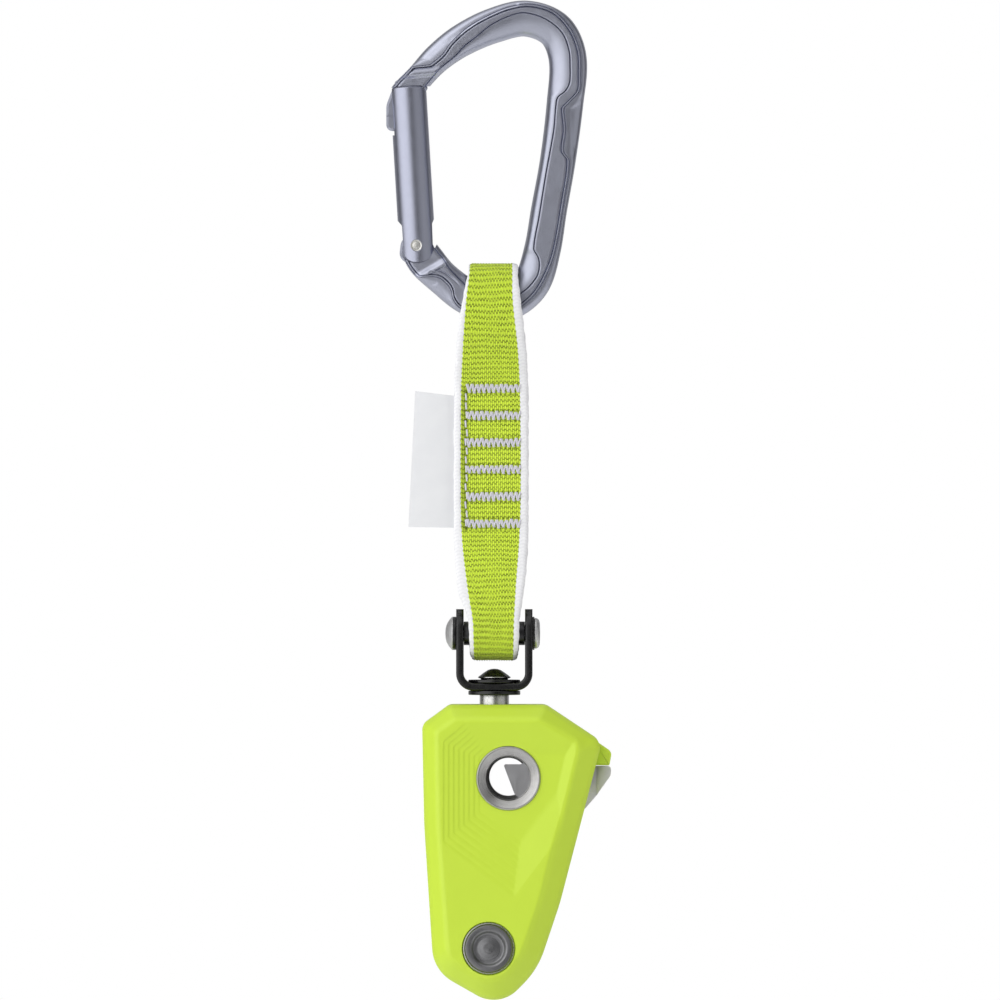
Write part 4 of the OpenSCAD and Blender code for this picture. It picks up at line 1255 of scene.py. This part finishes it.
def make_pin():
    """Pin with a domed head and a peened one, the sleeve on it and a washer under each head."""
    low, high = box("shackle_pin")
    about = (0, 0, PIN[2])
    left_arm = box("pin_washer_left")[0][0]
    right_arm = box("pin_washer_right")[1][0]
    dome = [[0, low[0]], [1.2, low[0] + 0.05], [2.6, low[0] + 0.35], [3.8, low[0] + 1.0],
            [4.7, low[0] + 1.75], [5, low[0] + 2.05], [5, left_arm], [2.5, left_arm]]
    peened = [[2.5, right_arm], [4.6, right_arm], [4.6, right_arm + 0.6], [4.2, right_arm + 1.25],
              [3.2, right_arm + 1.6], [0, high[0]]]
    turned = lathe(dome + peened, about, "x", 96, 0.4)
    piece("pin", *turned, SATIN, "shackle", ["shackle_pin"], "bright_steel")
    ring_piece("sleeve", "pin_sleeve", "x", about, 2.52, 3.55, 72, 0.2, DARK, "shackle", "dark_steel")
    for side in ("left", "right"):
        ring_piece("pin_flange_" + side, "pin_washer_" + side, "x", about, 2.52, 5, 72, 0.25, BLACK,
                   "shackle", "dark_steel")


def make_swivel():
    """Swivel bolt with a domed head, and a washer on each side of the shackle's base."""
    about = (HANG, 0, 0)
    low, high = box("swivel_bolt")
    top, under = high[2], box("swivel_washer_upper")[1][2]
    seat = box("swivel_washer_lower")[0][2]
    shaft = 4.4
    head = [[0, top], [0.9, top - 0.06], [1.9, top - 0.38], [3.1, top - 1.15], [4.3, top - 2.05],
            [4.9, top - 2.5], [4.9, top - 2.72], [4.5, top - 2.9], [4.1, top - 2.95], [4.1, under]]
    shank = [[4.1, seat], [shaft, seat], [shaft, BODY_TOP - 3], [3.4, BODY_TOP - 3.6], [3.4, low[2]],
             [0, low[2]]]
    verts, faces = lathe(head + shank, about, "z", 128, 0.12)
    made = piece("swivel_head", verts, faces, [BLACK, BRIGHT], "housing", ["swivel_bolt"], "dark_steel")
    heights = np.array([p.center.z / MM for p in made.data.polygons])
    # The shank below the seat is the bolt's own bright steel; the thin ring round the head's rim is a
    # painted highlight, bright steel on the black head
    silver_bolt_and_rim_highlight = (heights < seat + 0.05) | (np.abs(heights - top + 2.62) < 0.16)
    made.data.polygons.foreach_set("material_index", silver_bolt_and_rim_highlight.astype(np.int32))
    for side in ("upper", "lower"):
        ring_piece("swivel_ring_" + side, "swivel_washer_" + side, "z", about, 4.22, 7.8, 128, 0.28,
                   BLACK, "housing", "black_steel")


make_shackle()
make_pin()
make_swivel()


# ----------------------------------------------------------------------------------- housing

# Outline of the housing seen from the front: [x, z, corner radius]
BODY_LINE = [
    [-23.4, BODY_TOP, 3], [5.4, BODY_TOP, 4], [22.2, BODY_TOP - 11.2, 4.0],
    [9.6, BODY_TOP - 59.5, 60], [3.0, BODY_LOW + 8.8, 26], [-8.5, BODY_LOW - 2.8, 10],
    [-28.2, BODY_LOW + 8.4, 12], [-31, BODY_TOP - 35.7, 90], [-31.6, BODY_TOP - 6, 3]]
# Outline of the face inside the bevels
FACE_LINE = [
    [-21.8, BODY_TOP - 4.1, 2], [3.4, BODY_TOP - 4.1, 2], [15.2, BODY_TOP - 12.2, 3],
    [3.8, BODY_TOP - 58, 40], [-1.6, BODY_LOW + 13.9, 18], [-9.3, BODY_LOW + 3.2, 8],
    [-23.9, BODY_LOW + 12, 6], [-27, BODY_TOP - 36, 90], [-27.5, BODY_TOP - 8, 2]]
BEVEL_START = 12.5   # depth at which the bevels leave the side walls
SPLIT = 6.5          # channel side of each shell
DISH = 1.6           # depth of the flat round the eyelet
STEP = 0.21          # height of one terrace
# The dish's slopes: [point on the upper edge], [direction of the fall], fall per mm, terraced
DISH_SLOPES = [
    ([-26.4, -222], (1, 0), 0.138, True),
    ([-24.6, -209.2], (0.64, -0.77), 0.138, True),
    ([-22, -245.5], (0.60, 0.80), 0.110, True),
    ([-8, -205.6], (0, -1), 0.17, False),
    ([13.9, -222.5], (-0.975, 0.22), 0.38, False),
    ([2.4, -249.0], (-0.80, 0.60), 0.19, False)]


def dish(points):
    """Depth of the dish in the housing's face: terraced on the left, plain facets on the right."""
    stepped = np.full(len(points), 9.0)
    plain = np.full(len(points), 9.0)
    for start, way, fall, terraced in DISH_SLOPES:
        drop = (points - start) @ np.array(way, float) * fall
        if terraced:
            stepped = softer(stepped, drop, 0.06)
        else:
            plain = softer(plain, drop, 0.10)
    level = np.clip(stepped, 0, 9) / STEP
    stairs = STEP * (np.floor(level) + ease(level % 1, 0.62, 1.0))
    both = softer(stairs, plain, 0.10)
    return softer(np.clip(both, 0, None), np.full(len(points), DISH), 0.16)


def shell_rows(outline, bore_r, rings):
    """Points of a shell's face, from the eyelet's seat out to the outline."""
    angle = np.arctan2(outline[:, 1] - EYE[2], outline[:, 0] - EYE[0])
    start = np.column_stack([EYE[0] + bore_r * np.cos(angle), EYE[2] + bore_r * np.sin(angle)])
    t = 1 - (1 - np.linspace(0, 1, rings)) ** 1.3
    return start[None] + (outline - start)[None] * t[:, None, None]


def make_shell(side, name, body, node, bore_r):
    """A shell with bevelled rims and a dish about the eyelet; side is -1 in front and 1 behind."""
    outline = respaced(np.vstack([rounded(BODY_LINE), rounded(BODY_LINE)[:1]]), 681)[:-1]
    face = rounded(FACE_LINE)
    rings, n = 108, len(outline)
    plan = shell_rows(outline, bore_r, rings)
    points = plan.reshape(-1, 2)
    to_rim = to_line(points, outline, closed=True)
    in_face = depth_in(points, face)
    rise = HALF_DEPTH - BEVEL_START
    ramp = np.where(in_face > 0, 1 + in_face * 0.25, to_rim / np.maximum(to_rim - in_face, 1e-6))
    depth = BEVEL_START + rise * ramp - 0.9 * (1 - np.clip(to_rim / 1.4, 0, 1)) ** 2
    depth = softer(depth, HALF_DEPTH - dish(points), 1.5)
    depth = depth.reshape(rings, n)
    front = np.stack([plan[..., 0], side * depth, plan[..., 1]], -1)
    wall = []
    for y in np.linspace(depth[-1].mean(), SPLIT, 8)[1:]:
        level = side * (SPLIT + (depth[-1] - SPLIT) * (y - SPLIT) / (depth[-1].mean() - SPLIT))
        wall.append(np.column_stack([outline[:, 0], level, outline[:, 1]]))
    inset = plan[0]
    lip = outline + (np.array([EYE[0], EYE[2]]) - outline) * 0.04
    inner = [np.column_stack([lip[:, 0], np.full(n, side * SPLIT), lip[:, 1]]),
             np.column_stack([lip[:, 0], np.full(n, side * (SPLIT + 2)), lip[:, 1]]),
             np.column_stack([inset[:, 0], np.full(n, side * (SPLIT + 2)), inset[:, 1]])]
    grid = np.concatenate([front, np.array(wall), np.array(inner)])
    faces = grid_faces(len(grid), n, wrap_rows=True, wrap_columns=True)
    made = piece(name, grid.reshape(-1, 3), faces, SHELL, body, [node], "shell", 40)
    # seat of the rivet's head, and the hole for its shank
    about = RIVET * (1, 0, 1)
    drill(made, 8.05, side * (HALF_DEPTH - 2.1), side * 25, about, "y", 128)
    drill(made, 4.05, 0, side * 25, about, "y")


def make_rear_shell():
    """The rear shell and its rim: the channel's roof and side walls, the sill and the fin."""
    make_shell(1, "rear_housing", "housing", "rear_shell", 8.68)
    top_edge = box("rear_jaw")[1][2] + 0.3
    fin = rounded([[6, BODY_TOP - 4, 1], [19.4, -210.6, 1], [25.2, -214.6, 1.6],
                   [24.5, top_edge, 0.4], [6, top_edge, 1]])
    body = rounded(BODY_LINE)
    wall = 2.2
    roof = [[-40, -190], [-40, -237], [-18, -237], [2, -234], [6.2, -229], [6.2, top_edge], [40, top_edge],
            [40, -190]]
    sill = [[0, -270], [0, -244], [30, -244], [30, -270]]
    walls = prism(body, -SPLIT + 0.3, SPLIT + 0.6, 0.3)
    rim = piece("channel_walls", *walls, SHELL, "housing", (), "shell", 40)
    boolean(rim, *prism(fin, -SPLIT + 0.3, BEVEL_START, 0.5), operation="UNION")
    inner = body - normals(body, closed=True) * wall
    boolean(rim, *prism(inner, -20, SPLIT + 2.1))
    boolean(rim, *joined([prism(np.array(roof), -20, 20), prism(np.array(sill), -20, 20)]),
            operation="INTERSECT")
    reshade(rim, 40)


def make_eyelet(name, side, node, bore_r, flange_r, body):
    """Flanged ring with a countersunk, turned mouth."""
    low, high = box(node)
    face, back = (low[1], high[1]) if side < 0 else (high[1], low[1])
    sign = -side
    profile = [[bore_r, back], [bore_r, face + sign * 2.3], [bore_r + 0.25, face + sign * 1.75],
               [flange_r - 0.75, face + sign * 0.06], [flange_r - 0.3, face],
               [flange_r, face + sign * 0.3], [flange_r, face + sign * 1.1],
               [bore_r + 1.1, face + sign * 2.3], [bore_r + 1.1, back], [bore_r, back]]
    turned = lathe(profile, (EYE[0], 0, EYE[2]), "y", 160, 0.14)
    piece(name, *turned, EYELET, body, [node], "bright_steel", 35)


def make_rivet():
    """Dark rivet with a dimpled head on each side, its thin washer and the rope's sleeve."""
    about = RIVET * (1, 0, 1)
    face, low, head_r, shank = HALF_DEPTH - 0.5, HALF_DEPTH - 2.0, 7.3, 4.0
    head = [[0, face - 0.55], [1.6, face - 0.62], [3.4, face - 1.0], [4.5, face - 0.95],
            [5.05, face - 0.35],
            [5.5, face], [head_r - 0.35, face - 0.02], [head_r, face - 0.4], [head_r, low], [shank, low]]
    front = [[r, -y] for r, y in head]
    turned = lathe(front + head[::-1], about, "y", 160, 0.22)
    piece("bottom_pivot", *turned, RIVET_STEEL, "housing", ["bottom_rivet"], "dark_steel", 35)
    ring_piece("pivot_washer", "rivet_washer", "y", about, 4.05, 7.75, 128, 0.1, BRIGHT,
               "housing", "dark_steel")
    low, high = box("rope_sleeve")
    roller = [[4.02, low[1]], [6.5, low[1]], [6.5, high[1] - 1], [7.3, high[1] - 1], [7.3, high[1]],
              [4.02, high[1]], [4.02, low[1]]]
    piece("rope_roller", *lathe(roller, about, "y", 96, 0.2), BRIGHT, "housing", ["rope_sleeve"],
          "bright_steel")


make_shell(-1, "front_cover", "cover", "front_shell", 9.68)
make_rear_shell()
make_eyelet("front_ring", -1, "front_eyelet", 6.45, 9.65, "cover")
make_eyelet("rear_ring", 1, "rear_eyelet", 5.7, 8.65, "housing")
make_rivet()

for node, mat, slot, bevel in (
        ("gate_spring", SPRING, "spring_wire", 0), ("gate_plunger", DARK, "dark_steel", 0),
        ("swivel_nut", BRIGHT, "bright_steel", 0.2), ("channel_block", BLOCK, "block", 0.2),
        ("rear_plate", SHEET_STEEL, "bright_steel", 0.25),
        ("front_plate", SHEET_STEEL, "bright_steel", 0.25),
        ("rear_jaw", JAW_STEEL, "bright_steel", 0.3), ("front_jaw", JAW_STEEL, "bright_steel", 0.3),
        ("catch_pin", BRIGHT, "bright_steel", 0.2), ("rear_screws", DARK, "dark_steel", 0.15),
        ("front_screws", DARK, "dark_steel", 0), ("latch_pin", BRIGHT, "bright_steel", 0),
        ("latch_spring", SPRING, "spring_wire", 0), ("latch_lever", SHEET_STEEL, "bright_steel", 0.3)):
    finish_node(node, mat, bevel)
